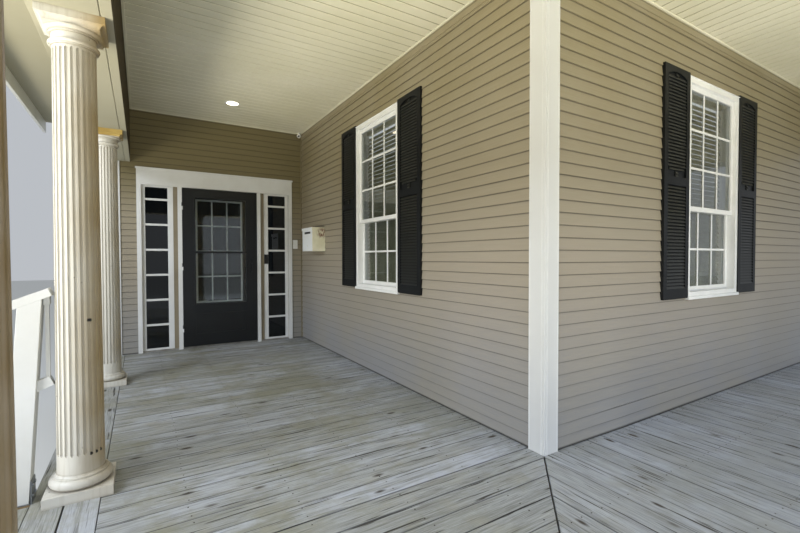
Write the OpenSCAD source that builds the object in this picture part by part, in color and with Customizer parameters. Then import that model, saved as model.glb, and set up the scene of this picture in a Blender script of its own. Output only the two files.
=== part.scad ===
// Front porch that wraps round the outside corner of a house.
// The origin is on the ground under the outside corner of the house walls.
// The side wing lies along the Y axis, left of the side wall, and ends at the entry wall.
// The front wing lies along the X axis, in front of the front wall.

/* [Plan] */
// From the house walls to the centres of the columns
porch_depth = 2310; // [2000:10:2800]
// Side wall, from the outside corner of the house to the entry wall
side_len = 4435; // [4300:5:5200]
// Front wall, from the outside corner of the house to its far end
front_len = 4440; // [4300:10:5200]
// From the corner column to the next one in the side row
corner_bay = 1510; // [1300:10:1600]
// Between the two columns beside the stair
stair_bay = 1775; // [1600:5:1900]
// From the stair to the last column of the side row
bay = 2125; // [1900:5:2200]
// Columns between the corner and the end of the front row
front_columns = 3; // [2:1:4]
// Deck past the centres of the columns
deck_overhang = 195; // [160:5:260]
// Entry wall, from the side wall to its free end
entry_wall_len = 2350; // [2250:10:2450]

/* [Heights] */
// Height of one step
step_rise = 160; // [150:1:190]
// Number of risers from the ground to the deck
riser_count = 3; // [3:1:5]
// Deck to the underside of the beams
column_h = 2350; // [2200:10:2500]
// Deck to the ceiling
ceiling_h = 3000; // [2860:10:3200]
// Deck to the top of the house walls
wall_h = 3950; // [3900:10:4300]
// Slope of the roof in degrees
roof_pitch = 14; // [8:1:15]

/* [Walls and trim] */
// Thickness of the house walls
wall_t = 150; // [120:5:200]
// Thickness of the masonry under the walls
foundation_t = 200; // [160:10:300]
// Width of each leg of a corner board
corner_board_w = 100; // [80:5:140]
// How far trim boards stand out of the siding
trim_t = 20; // [16:1:25]

/* [Deck] */
// Thickness of the deck boards
board_t = 25; // [20:1:38]
// Width of the two border boards together
border_w = 283; // [280:1:300]
// From joist to joist
joist_spacing = 450; // [300:10:600]
// Depth of the joists
joist_h = 184; // [140:2:235]
// Thickness of the joists and rim boards
joist_t = 38; // [32:1:50]
// Depth of the cross beams under the joists
cross_beam_h = 90; // [80:5:140]
// Side of the square piers
pier_w = 300; // [250:10:400]
// Half of the gap at the mitre of the deck
mitre_gap = 4; // [2:0.5:8]

/* [Columns] */
// Side of the square plinth
plinth_w = 280; // [270:2:320]
// Height of the plinth
plinth_h = 48; // [40:1:80]
// Height of the round base
base_h = 70; // [62:1:90]
// Radius of the shaft at its foot
shaft_foot_r = 100; // [90:1:105]
// Radius of the shaft under the capital
shaft_top_r = 90; // [80:1:95]
// Number of flutes round a shaft
flute_count = 24; // [16:1:24]
// Radius of a flute at the foot of the shaft
flute_r = 8; // [6:0.5:10]
// Plain shaft under the flutes
plain_foot = 87; // [60:1:130]
// Plain shaft over the flutes
plain_top = 10; // [5:1:40]
// Height of the round capital
capital_h = 82; // [76:1:110]
// Side of the square abacus
abacus_w = 272; // [260:2:320]
// Height of the abacus
abacus_h = 60; // [45:1:80]

/* [Beams and eaves] */
// Width of the beams
beam_w = 340; // [300:5:400]
// Soffit past the outer face of the beams
soffit_w = 450; // [350:10:600]
// Deck to the soffit
soffit_h = 2700; // [2600:10:2800]
// Thickness of ceiling and soffit boards
lining_t = 20; // [12:1:25]
// Thickness of the fascia
fascia_t = 25; // [18:1:32]
// How far the fascia hangs below the soffit
fascia_drop = 120; // [60:5:160]
// Thickness of the roof
roof_t = 80; // [60:5:120]
// Height of the rafters' feet over the beams
heel_h = 90; // [60:5:120]
// Roof past the end of the front wing
rake = 120; // [60:10:200]

/* [Windows and shutters] */
// Width of a window frame
window_w = 890; // [760:10:960]
// Height of a window frame
window_h = 1740; // [1500:10:1900]
// Deck to the bottom of a window frame
window_sill_h = 855; // [700:5:950]
// From the corner of the house to the middle of each window
window_mid = 2085; // [1800:5:2400]
// Width of the outer frame
frame_w = 42; // [35:1:55]
// Width of the sash members
sash_w = 38; // [30:1:50]
// Height of the lower sash as a share of the window
lower_sash = 0.41; // [0.35:0.01:0.5]
// Width of a shutter
shutter_w = 370; // [300:5:420]
// Thickness of a shutter
shutter_t = 30; // [25:1:40]

/* [Entry] */
// From the side wall to the middle of the door
entry_mid = 1120; // [1110:5:1150]
// Width of the doors
door_w = 925; // [860:5:930]
// Deck to the underside of the door head
door_h = 2085; // [2050:1:2110]
// Height of the threshold
threshold_h = 20; // [15:1:30]
// Width of the post on each side of the door
mullion_w = 97; // [90:1:105]
// Width of a sidelight
sidelight_w = 350; // [320:5:355]
// Width of the trim round the entry
casing_w = 48; // [40:1:55]
// Height of the head trim
head_casing_h = 195; // [150:1:220]
// Gap round moving doors
door_gap = 5; // [5:1:8]
// Thickness of the outer door
storm_t = 35; // [30:1:45]
// Thickness of the inner door
entry_t = 45; // [40:1:50]
// Width of the stiles of the outer door
storm_stile = 145; // [120:5:160]
// Width of the stiles of the inner door
entry_stile = 165; // [150:5:180]

/* [Stair] */
// Depth of one tread
tread_run = 390; // [350:5:420]
// Thickness of the treads
tread_t = 38; // [30:1:45]
// Side of the square newel posts
newel_w = 89; // [80:1:110]
// Deck to the underside of the handrail at the columns
rail_h = 995; // [900:5:1050]
// Thickness of the handrail
rail_t = 40; // [35:1:50]
// Underside of the handrail to the underside of the lower rail
rail_gap = 438; // [400:2:480]
// From baluster to baluster
baluster_pitch = 110; // [90:5:120]
// Lean of the newel beside the middle column in degrees
newel_lean = 3.6; // [0:0.1:3.8]

/* [Small fittings] */
// Width of the mailbox along the wall
mailbox_w = 380; // [320:5:420]
// Depth of the mailbox
mailbox_d = 180; // [120:5:200]
// Height of the mailbox
mailbox_h = 300; // [260:5:320]

/* [Hidden] */
$fn = 48;

deck_h = step_rise * riser_count;
deck_reach = porch_depth + deck_overhang;
border_in = deck_reach - border_w;
beam_in = porch_depth - beam_w / 2;
beam_out = porch_depth + beam_w / 2;
eave_in = beam_out + soffit_w;
eave_out = eave_in + fascia_t;
wall_foot = deck_h - board_t - joist_h;
roof_rise = tan(roof_pitch);
end_column = front_len - beam_w / 2;
deck_end = end_column + deck_overhang;
front_bay = (end_column + porch_depth) / (front_columns + 1);
first_spot = corner_bay - porch_depth;
side_spots = [first_spot, first_spot + stair_bay, first_spot + stair_bay + bay];
front_spots = [for (i = [1:front_columns + 1]) i * front_bay - porch_depth];
column_spots = concat([[-porch_depth, -porch_depth]],
    [for (s = side_spots) [-porch_depth, s]],
    [for (s = front_spots) [s, -porch_depth]]);

siding_col = "#9A8F7B";
trim_col = "#E6E4DA";
cream_col = "#DAD9C5";
deck_col = "#A39C90";
frame_col = "#B39A72";
black_col = "#23272A";
glass_col = [0.75, 0.82, 0.85, 0.4];

// What is drawn for the side wing is turned over the diagonal for the front wing.
module front_wing() mirror([1, -1, 0]) children();

// Slab between two distances from the wall, mitred at the corner of the house.
module mitred(near, far, length, z, h, gap = 0)
    translate([0, 0, z]) linear_extrude(h)
        polygon([[-near, gap - near], [-far, gap - far], [-far, length], [-near, length]]);

// Section given as [distance from the wall, height], run along a wing and mitred.
module mitred_section(section, length) {
    reach = 2 * eave_out;
    difference() {
        translate([0, length, 0]) rotate([90, 0, 0]) linear_extrude(length + 1.1 * eave_out)
            polygon([for (p = section) [-p[0], p[1]]]);
        rotate([0, 0, 45]) translate([-reach, -reach, -1]) cube([2 * reach, reach, 2 * wall_h]);
    }
}

function roof_under(out) = deck_h + ceiling_h + lining_t + heel_h - (out - beam_out) * roof_rise;

// House
module foundation() color("#8D877C") linear_extrude(wall_foot)
    polygon([[0, 0], [front_len, 0], [front_len, foundation_t], [foundation_t, foundation_t],
        [foundation_t, side_len + foundation_t], [-entry_wall_len, side_len + foundation_t],
        [-entry_wall_len, side_len], [0, side_len]]);

module window_hole() translate([-1, window_mid - window_w / 2, deck_h + window_sill_h])
    cube([wall_t + 2, window_w, window_h]);

module side_wall() color(siding_col) difference() {
    translate([0, 0, wall_foot]) cube([wall_t, side_len, deck_h + wall_h - wall_foot]);
    window_hole();
}

module front_wall() color(siding_col) front_wing() difference() {
    translate([0, wall_t, wall_foot])
        cube([wall_t, front_len - wall_t, deck_h + wall_h - wall_foot]);
    window_hole();
}

jamb_t = 30;
head_t = 52;
entry_half = door_w / 2 + door_gap + mullion_w + sidelight_w + jamb_t;
entry_top = door_h + head_t;

module entry_wall_sides() color(siding_col) {
    translate([-entry_wall_len, side_len, wall_foot])
        cube([entry_wall_len - entry_mid - entry_half, wall_t, deck_h + wall_h - wall_foot]);
    translate([-entry_mid + entry_half, side_len, wall_foot])
        cube([entry_mid - entry_half + wall_t, wall_t, deck_h + wall_h - wall_foot]);
}

module entry_wall_over() color(siding_col)
    translate([-entry_mid - entry_half, side_len, deck_h + entry_top])
        cube([2 * entry_half, wall_t, wall_h - entry_top]);

// Boards fold round the corner of the house and round the free end of the entry wall.
// A thin strip fills the inner corner between the side wall and the entry wall.
corner_strip = 22;
module corner_board(h) translate([0, 0, deck_h]) linear_extrude(h) difference() {
    translate([-trim_t, -trim_t]) square(corner_board_w + trim_t);
    square(corner_board_w + 1);
}

module corner_boards() color(trim_col) {
    corner_board(ceiling_h);
    translate([-entry_wall_len, side_len, 0]) corner_board(column_h);
    translate([-corner_strip, side_len - corner_strip, deck_h]) cube([corner_strip, corner_strip, ceiling_h]);
}

// Deck
module deck_strip(near, far) {
    mitred(near, far, side_len, deck_h - board_t, board_t, mitre_gap);
    front_wing() mitred(near, far, deck_end, deck_h - board_t, board_t, mitre_gap);
}

module deck_boards() color(deck_col) deck_strip(0, border_in);

module deck_border() color(deck_col) deck_strip(border_in, deck_reach);

// Joists stand side by side along each wing, with a rim board outside.
module wing_joists(length) for (out = [joist_t : joist_spacing : deck_reach - 3 * joist_t])
    mitred(out, out + joist_t, length, wall_foot, joist_h);

module wing_rim(length)
    mitred(deck_reach - joist_t, deck_reach, length, wall_foot, joist_h);

module joists() color(frame_col) {
    wing_joists(side_len);
    wing_rim(side_len);
    front_wing() wing_joists(deck_end);
    front_wing() wing_rim(deck_end);
}

// A cross beam runs in from the edge to the foundation, or to the beam under the mitre.
beam_foot = wall_foot - cross_beam_h;
module cross_beam(s) translate([-deck_reach + joist_t, s - joist_t, beam_foot])
    cube([deck_reach - joist_t - max(0, 3 * joist_t - s), 2 * joist_t, cross_beam_h]);

module cross_beams() color(frame_col) {
    for (s = side_spots) cross_beam(s);
    front_wing() for (s = front_spots) cross_beam(s);
    rotate([0, 0, 225]) translate([joist_t, -joist_t, beam_foot])
        cube([(deck_reach - 2 * joist_t) * sqrt(2), 2 * joist_t, cross_beam_h]);
}

module piers() color("#8D877C") for (p = column_spots)
    translate([p[0] - pier_w / 2, p[1] - pier_w / 2, 0]) cube([pier_w, pier_w, beam_foot]);

// Columns
shaft_foot = plinth_h + base_h;
shaft_h = column_h - shaft_foot - capital_h - abacus_h;
shaft_lean = atan((shaft_foot_r - shaft_top_r) / shaft_h);

module at_columns() for (p = column_spots) translate([p[0], p[1], deck_h]) children();

// Torus, a narrow ring over it and a hollow up to the shaft.
torus_r = 26;
base_r = shaft_foot_r + 33;
base_ring = 16;
module base_outline() {
    translate([base_r - torus_r, torus_r]) circle(r = torus_r);
    square([base_r - torus_r, 2 * torus_r]);
    difference() {
        square([shaft_foot_r + base_ring, base_h]);
        translate([shaft_foot_r + base_ring, base_h]) circle(r = base_ring - 4);
    }
}

module column_bases() color(trim_col) at_columns() {
    translate([-plinth_w / 2, -plinth_w / 2, 0]) cube([plinth_w, plinth_w, plinth_h]);
    translate([0, 0, plinth_h]) rotate_extrude() base_outline();
}

// A flute is a round channel that leans with the shaft and ends in a blunt cone.
module flute() {
    run = shaft_h - plain_foot - plain_top - 2 * flute_r;
    translate([shaft_foot_r, 0, 0]) rotate([0, -shaft_lean, 0]) translate([0, 0, plain_foot + flute_r]) {
        cylinder(h = run, r = flute_r);
        translate([0, 0, run]) cylinder(h = flute_r, r1 = flute_r, r2 = flute_r / 4);
        mirror([0, 0, 1]) cylinder(h = flute_r, r1 = flute_r, r2 = flute_r / 4);
    }
}

module column_shaft() difference() {
    cylinder(h = shaft_h, r1 = shaft_foot_r, r2 = shaft_top_r);
    for (i = [0:flute_count - 1]) rotate([0, 0, i * 360 / flute_count]) flute();
}

module column_shafts() color(cream_col) at_columns() translate([0, 0, shaft_foot]) column_shaft();

// Astragal, neck and the round echinus, which grows in two steps.
astragal_r = 9;
neck_r = shaft_top_r + 3;
echinus_r = 15;
module capital_outline() {
    square([neck_r, capital_h]);
    square([shaft_top_r + 7, 6 + astragal_r]);
    translate([shaft_top_r + 7, 6 + astragal_r]) circle(r = astragal_r);
    translate([0, capital_h - echinus_r - 8]) square([neck_r + 9, 8]);
    intersection() {
        translate([neck_r + 13, capital_h]) circle(r = echinus_r);
        translate([0, capital_h - echinus_r]) square([abacus_w / 2, echinus_r]);
    }
    translate([0, capital_h - echinus_r]) square([neck_r + 13, echinus_r]);
}

// The abacus flares up in a hollow on all four sides.
cove_r = 24;
module abacus() difference() {
    translate([-abacus_w / 2, -abacus_w / 2, 0]) cube([abacus_w, abacus_w, abacus_h]);
    for (turn = [0:90:270]) rotate([0, 0, turn]) translate([abacus_w / 2, -abacus_w, 0])
        rotate([-90, 0, 0]) cylinder(h = 2 * abacus_w, r = cove_r);
}

module column_capitals() color(cream_col) at_columns() {
    translate([0, 0, shaft_foot + shaft_h]) rotate_extrude() capital_outline();
    translate([0, 0, column_h - abacus_h]) abacus();
}

// Beams, ceiling, eaves and roof
beam_h = ceiling_h + lining_t - column_h;
seam = 1;

// A groove parts the wide board under the beam from the narrow one on its inner edge.
inner_strip = 50;
groove = 5;
module beam(length) difference() {
    mitred(beam_in, beam_out, length, deck_h + column_h, beam_h);
    translate([-beam_in - inner_strip - groove, -beam_in - inner_strip, deck_h + column_h - 1])
        cube([groove, beam_in + length, groove + 1]);
}

module beam_side() color(cream_col) beam(side_len);

module beam_front() color(cream_col) front_wing() beam(front_len);

module beam_end() color(cream_col) translate([front_len - beam_w, -beam_in, deck_h + column_h])
    cube([beam_w, beam_in, beam_h]);

module ceilings() color("#B9AD98") {
    mitred(0, beam_in, side_len, deck_h + ceiling_h, lining_t, seam);
    front_wing() mitred(0, beam_in, front_len - beam_w, deck_h + ceiling_h, lining_t, seam);
}

module soffits() color(cream_col) {
    mitred(beam_out, eave_in, side_len, deck_h + soffit_h, lining_t, seam);
    front_wing() mitred(beam_out, eave_in, front_len, deck_h + soffit_h, lining_t, seam);
}

fascia_foot = deck_h + soffit_h - fascia_drop;
module fascias() color(trim_col) {
    mitred(eave_in, eave_out, side_len, fascia_foot, roof_under(eave_out) - fascia_foot);
    front_wing() mitred(eave_in, eave_out, front_len, fascia_foot, roof_under(eave_out) - fascia_foot);
}

// Boards that close the ends of the eaves, and the roof over the end beam.
eave_end = [[-beam_out, deck_h + soffit_h + lining_t], [-eave_in, deck_h + soffit_h + lining_t],
    [-eave_in, roof_under(eave_in)], [-beam_out, roof_under(beam_out)]];

module end_board(length, outline) translate([0, length, 0]) rotate([90, 0, 0])
    linear_extrude(fascia_t) polygon(outline);

module roof_ends() color(trim_col) {
    end_board(side_len, eave_end);
    front_wing() end_board(front_len, [eave_end[0], eave_end[1], eave_end[2], [0, roof_under(0)],
        [0, deck_h + ceiling_h + lining_t], [-beam_out, deck_h + ceiling_h + lining_t]]);
}

roof_section = [[0, roof_under(0)], [0, roof_under(0) + roof_t],
    [eave_out + 15, roof_under(eave_out + 15) + roof_t], [eave_out + 15, roof_under(eave_out + 15)]];

module roof_side() color("#57534E") mitred_section(roof_section, side_len);

module roof_front() color("#57534E") front_wing() mitred_section(roof_section, front_len + rake);

// Windows. Each is drawn in the side wall, with X going into the wall.
frame_out = 22;
frame_in = 90;
sash_t = 34;
glass_t = 6;
lower_top = lower_sash * window_h;

module at_windows() {
    translate([0, window_mid, deck_h + window_sill_h]) children();
    front_wing() translate([0, window_mid, deck_h + window_sill_h]) children();
}

// Upright rectangle with a margin inside it, centred on the window's middle line.
module ring(x, depth, half, z1, z2, margin) difference() {
    translate([x, -half, z1]) cube([depth, 2 * half, z2 - z1]);
    translate([x - 1, -half + margin, z1 + margin])
        cube([depth + 2, 2 * (half - margin), z2 - z1 - 2 * margin]);
}

module window_frames() color("#F1F2F0") at_windows()
    ring(-frame_out, frame_out + frame_in, window_w / 2, 0, window_h, frame_w);

inner_half = window_w / 2 - frame_w;
module window_sashes() color("#F1F2F0") at_windows() {
    ring(4, sash_t, inner_half, lower_top - sash_w / 2, window_h - frame_w, sash_w);
    ring(4 + sash_t + 1, sash_t, inner_half, frame_w, lower_top + sash_w / 2, sash_w);
}

module window_glass() color(glass_col) {
    at_windows() {
        translate([4 + sash_t / 2 - glass_t / 2, -inner_half + sash_w, lower_top + sash_w / 2])
            cube([glass_t, 2 * (inner_half - sash_w), window_h - frame_w - lower_top - 1.5 * sash_w]);
        translate([5 + 1.5 * sash_t - glass_t / 2, -inner_half + sash_w, frame_w + sash_w])
            cube([glass_t, 2 * (inner_half - sash_w), lower_top - frame_w - 1.5 * sash_w]);
    }
    at_entry() both_sides()
        translate([post_out + light_stile, light_out_y + light_t / 2, threshold_h + light_rail])
            cube([light_w, glass_t, door_h - threshold_h - 2 * light_rail]);
}

// A shutter has two sunk panels. The upper one ends in a low arch.
stile_w = 50;
shutter_h = window_h + 20;
foot_rail = 80;
mid_rail = 65;
mid_rail_z = shutter_h / 2 + 20;
panel_depth = 12;
arch_top = 42;
arch_rise = 26;
arch_foot = shutter_h - arch_top - arch_rise;
panel_w = shutter_w - 2 * stile_w;
arch_r = (panel_w * panel_w / 4 + arch_rise * arch_rise) / (2 * arch_rise);
module shutter_panel(foot, top) translate([-1, stile_w, foot]) cube([panel_depth + 1, panel_w, top - foot]);

module shutter() difference() {
    cube([shutter_t, shutter_w, shutter_h]);
    shutter_panel(foot_rail, mid_rail_z - mid_rail / 2);
    shutter_panel(mid_rail_z + mid_rail / 2, arch_foot);
    intersection() {
        shutter_panel(arch_foot - 1, shutter_h - arch_top);
        translate([-2, shutter_w / 2, shutter_h - arch_top - arch_r]) rotate([0, 90, 0])
            cylinder(h = panel_depth + 2, r = arch_r, $fn = 160);
    }
}

module shutters() color(black_col) at_windows()
    for (y = [-window_w / 2 - shutter_w, window_w / 2]) translate([-shutter_t, y, 0]) shutter();

// Entry. It is drawn with X from the middle of the door and Y into the wall.
casing_t = 25;
head_cap = 10;
door_half = door_w / 2;
post_in = door_half + door_gap;
post_out = post_in + mullion_w;
light_out = post_out + sidelight_w;
light_stile = 62;
light_stile_out = 42;
light_rail = 20;
light_out_y = 10;
light_t = 45;
light_w = sidelight_w - light_stile - light_stile_out;

module at_entry() translate([-entry_mid, side_len, deck_h]) children();

module both_sides() {
    children();
    mirror([1, 0, 0]) children();
}

// Hinges. The lower knuckles are on the frame, and the upper knuckles turn with the door.
hinge_x = -door_half - door_gap / 2;
hinge_r = 8;
leaf_t = 3;
leaf_w = 32;
knuckle_h = 45;
low_hinge = 220;
top_hinge = 285;
hinge_spots = [low_hinge, (door_h - knuckle_h) / 2, door_h - top_hinge];

module storm_knuckles(z, x) for (spot = hinge_spots) translate([hinge_x, -casing_t - hinge_r, spot + z]) {
    cylinder(h = knuckle_h, r = hinge_r);
    translate([x, hinge_r - leaf_t, 0]) cube([leaf_w, leaf_t, knuckle_h]);
}

module entry_knuckles(z, x) for (spot = hinge_spots) translate([hinge_x, wall_t + hinge_r, spot + z]) {
    cylinder(h = knuckle_h, r = hinge_r);
    translate([x, -hinge_r, 0]) cube([leaf_w, leaf_t, knuckle_h]);
}

module entry_posts() color(trim_col) at_entry() {
    both_sides() {
        translate([post_in, 0, threshold_h]) cube([mullion_w, wall_t, door_h - threshold_h]);
        translate([light_out, 0, threshold_h]) cube([jamb_t, wall_t, door_h - threshold_h]);
    }
    entry_knuckles(0, -leaf_w);
}

module entry_head() color(trim_col) at_entry()
    translate([-entry_half, 0, door_h]) cube([2 * entry_half, wall_t, head_t]);

module entry_threshold() color(frame_col) at_entry()
    translate([-entry_half, 0, wall_foot - deck_h])
        cube([2 * entry_half, wall_t, deck_h - wall_foot + threshold_h]);

module entry_casings() color(trim_col) at_entry() {
    storm_knuckles(0, -leaf_w);
    both_sides() {
        translate([post_in, -casing_t, 0]) cube([casing_w, casing_t, door_h]);
        translate([light_out, -casing_t, 0]) cube([casing_w, casing_t, door_h]);
    }
    translate([-light_out - casing_w, -casing_t, door_h])
        cube([2 * (light_out + casing_w), casing_t, head_casing_h]);
    translate([-light_out - casing_w - head_cap, -casing_t - head_cap, door_h + head_casing_h])
        cube([2 * (light_out + casing_w + head_cap), casing_t + head_cap, 2 * head_cap]);
}

module sidelight() difference() {
    translate([0, 0, threshold_h]) cube([sidelight_w, light_t, door_h - threshold_h]);
    translate([light_stile, -1, threshold_h + light_rail])
        cube([light_w, light_t + 2, door_h - threshold_h - 2 * light_rail]);
}

module sidelights() color(trim_col) at_entry() both_sides()
    translate([post_out, light_out_y, 0]) sidelight();

door_foot = threshold_h + door_gap + 1;
leaf_h = door_h - door_gap - door_foot;
lite_foot = 575;
top_rail = 123;
lite_top = door_h - top_rail;
mid_bar_foot = 1240;
mid_bar_h = 28;
kick_foot = 168;
kick_top = 449;
kick_rim = 22;
module door_leaf(thick, y, foot, top, side) difference() {
    translate([-door_half, y, door_foot]) cube([door_w, thick, leaf_h]);
    translate([-door_half + side, y - 1, foot]) cube([door_w - 2 * side, thick + 2, top - foot]);
}

// Raised rim round a sunk panel at the foot of a door.
module kick_panel(y, side, proud) translate([-door_half + side, y - proud, kick_foot]) difference() {
    cube([door_w - 2 * side, proud + 1, kick_top - kick_foot]);
    translate([kick_rim, -1, kick_rim])
        cube([door_w - 2 * (side + kick_rim), proud + 1, kick_top - kick_foot - 2 * kick_rim]);
}

module storm_door() color(black_col) at_entry() {
    door_leaf(storm_t, -casing_t, lite_foot, lite_top, storm_stile);
    translate([-door_half + storm_stile - 1, -casing_t + 2, mid_bar_foot])
        cube([door_w - 2 * storm_stile + 2, storm_t - 4, mid_bar_h]);
    kick_panel(-casing_t, storm_stile, 5);
    storm_knuckles(knuckle_h + 0.4, 0);
}

// Pull handle of the outer door: a plate with a grip on two arms.
handle_z = 960;
handle_in = 70;
plate = [28, 6, 170];
grip = [14, 12, 130];
grip_out = 45;
module storm_door_handle() color(black_col) at_entry()
    translate([door_half - handle_in, -casing_t, handle_z]) {
        translate([-plate[0] / 2, -plate[1], 0]) cube(plate);
        translate([-grip[0] / 2, -grip_out, (plate[2] - grip[2]) / 2]) {
            cube(grip);
            for (z = [0, grip[2] - grip[1]]) translate([0, 0, z])
                cube([grip[0], grip_out - plate[1] + 1, grip[1]]);
        }
    }

module storm_door_glass() color(glass_col) at_entry()
    for (span = [[lite_foot, mid_bar_foot], [mid_bar_foot + mid_bar_h, lite_top]])
        translate([-door_half + storm_stile, -casing_t + 14, span[0]])
            cube([door_w - 2 * storm_stile, glass_t, span[1] - span[0]]);

knob_r = 26;
knob_t = 24;
spindle_r = 10;
spindle_h = 45;
module entry_door() color(black_col) at_entry() {
    door_leaf(entry_t, wall_t - entry_t, lite_foot, lite_top, entry_stile);
    kick_panel(wall_t - entry_t, entry_stile, 5);
    entry_knuckles(knuckle_h + 0.4, 0);
    translate([door_half - handle_in, wall_t - entry_t, handle_z]) rotate([90, 0, 0]) {
        cylinder(h = spindle_h, r = spindle_r);
        translate([0, 0, spindle_h - knob_t + 9]) cylinder(h = knob_t, r = knob_r);
    }
}

module entry_door_glass() color(glass_col) at_entry()
    translate([-door_half + entry_stile, wall_t - entry_t / 2, lite_foot])
        cube([door_w - 2 * entry_stile, glass_t, lite_top - lite_foot]);

// Stair. The first tread is level with the deck, and the rails start at the columns.
stair_mid = (side_spots[0] + side_spots[1]) / 2;
post_gap = 18;
stair_w = stair_bay - newel_w - 2 * post_gap;
nosing = 25;

module stair_treads() color(deck_col) for (k = [0:riser_count - 1])
    translate([-deck_reach - (k + 1) * tread_run - nosing, stair_mid - stair_w / 2,
        deck_h - k * step_rise - tread_t]) cube([tread_run + nosing, stair_w, tread_t]);

function step_foot(k) = deck_h - k * step_rise - tread_t;

module stringer() rotate([90, 0, 0]) linear_extrude(joist_t)
    polygon(concat([[-deck_reach, 0]],
        [for (k = [0:riser_count - 1]) each [[-deck_reach - k * tread_run, step_foot(k)],
            [-deck_reach - (k + 1) * tread_run, step_foot(k)]]],
        [[-deck_reach - riser_count * tread_run, 0]]));

// Newels. The upper ones stand in steel shoes on stub posts beside the deck.
shoe_t = 5;
shoe_h = 110;
upper_x = -deck_reach - shoe_t - newel_w / 2;
lower_x = -deck_reach - riser_count * tread_run + newel_w / 2;
rail_slope = atan(step_rise / tread_run);
rail_end = -porch_depth - shaft_foot_r;
function rail_under(x) = deck_h + rail_h + (x - rail_end) * step_rise / tread_run;

module stair_stringers() color(frame_col) {
    for (y = [-stair_w / 2 + joist_t, joist_t / 2, stair_w / 2])
        translate([0, stair_mid + y, 0]) stringer();
    at_rails() translate([upper_x - newel_w / 2 - shoe_t, -newel_w / 2, 0])
        cube([newel_w + 2 * shoe_t, newel_w, deck_h]);
}

module at_rails() for (s = [side_spots[0], side_spots[1]]) translate([0, s, 0]) children();

module newel_shoes() color("#8E9194") at_rails() translate([upper_x, -newel_w / 2, deck_h]) {
    translate([-newel_w / 2 - shoe_t, 0, 0]) cube([newel_w + 2 * shoe_t, newel_w, shoe_t]);
    for (x = [-newel_w / 2 - shoe_t, newel_w / 2 + shoe_h * tan(newel_lean)]) translate([x, 0, 0])
        cube([shoe_t, newel_w, shoe_h]);
}

// Space under the handrail, out to both sides of a stair.
module under_rail(margin) rotate([90, 0, 0]) linear_extrude(2 * newel_w, center = true)
    polygon([[lower_x - newel_w, 0], [rail_end, 0], [rail_end, rail_under(rail_end) - margin],
        [lower_x - newel_w, rail_under(lower_x - newel_w) - margin]]);

module post(x, foot, lean, grow = 0) translate([x, 0, foot]) rotate([0, lean, 0])
    translate([-newel_w / 2 - grow, -newel_w / 2 - grow, -newel_w])
        cube([newel_w + 2 * grow, newel_w + 2 * grow, 2 * rail_h]);

module upper_newel(lean) intersection() {
    post(upper_x, deck_h, lean);
    under_rail(0);
    translate([rail_end - 4 * newel_w, -newel_w, deck_h + shoe_t])
        cube([4 * newel_w, 2 * newel_w, 2 * rail_h]);
}

module stair_newels() color(trim_col) {
    translate([0, side_spots[0], 0]) upper_newel(0);
    translate([0, side_spots[1], 0]) upper_newel(newel_lean);
    at_rails() intersection() {
        post(lower_x, newel_w, 0);
        under_rail(0);
    }
}

// Handrail, lower rail and thin balusters, notched round the newels.
baluster_w = 16;
low_rail_w = 45;
low_rail_t = 47;
rail_past = 60;
rail_block = [24, 40, 50];
block_drop = 34;
module sloped_bar(drop, width, thick) translate([rail_end, -width / 2, deck_h + rail_h - drop])
    rotate([0, -rail_slope, 0]) translate([-rail_run, 0, 0]) cube([rail_run, width, thick]);

rail_run = (rail_end - lower_x + newel_w / 2 + rail_past) / cos(rail_slope);
first_baluster = rail_end - rail_block[0];
baluster_spots = concat([first_baluster],
    [for (x = [upper_x - newel_w : -baluster_pitch : lower_x + newel_w]) x]);

module lower_parts() {
    sloped_bar(rail_gap, low_rail_w, low_rail_t);
    for (x = baluster_spots) translate([x - baluster_w / 2, -baluster_w / 2, rail_under(x) - rail_gap + 20])
        cube([baluster_w, baluster_w, rail_gap]);
    block_foot = rail_under(first_baluster) - block_drop;
    translate([first_baluster - rail_block[0] / 2, -rail_block[1] / 2, block_foot]) cube(rail_block);
}

module rails(lean) {
    sloped_bar(0, newel_w, rail_t);
    difference() {
        lower_parts();
        post(upper_x, deck_h, lean, 0.5);
        translate([lower_x - newel_w / 2 - rail_past - 100, -newel_w, 0])
            cube([newel_w + rail_past + 100.5, 2 * newel_w, 2 * rail_h]);
    }
}

module stair_rails() color(trim_col) {
    translate([0, side_spots[0], 0]) rails(0);
    translate([0, side_spots[1], 0]) rails(newel_lean);
}

// Small fittings
mailbox_back = 755;
mailbox_mid = side_len - mailbox_back;
mailbox_foot = 1265;
sheet_t = 3;
lid_skirt = 30;
slot_w = 230;
slot_h = 26;
slot_drop = 75;
lock_z = 70;
lock_r = 9;
lid_gap = 5;
mailbox_top = mailbox_foot + mailbox_h;
pin_r = 4;

knuckle_w = 40;
pin_x = -pin_r - 4;
pin_z = mailbox_top + pin_r;
module at_mailbox() translate([0, mailbox_mid, deck_h]) children();

// A knuckle of the lid's hinge.
module lid_knuckle(y, w) translate([pin_x, y, pin_z]) rotate([-90, 0, 0]) cylinder(h = w, r = pin_r);

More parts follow.
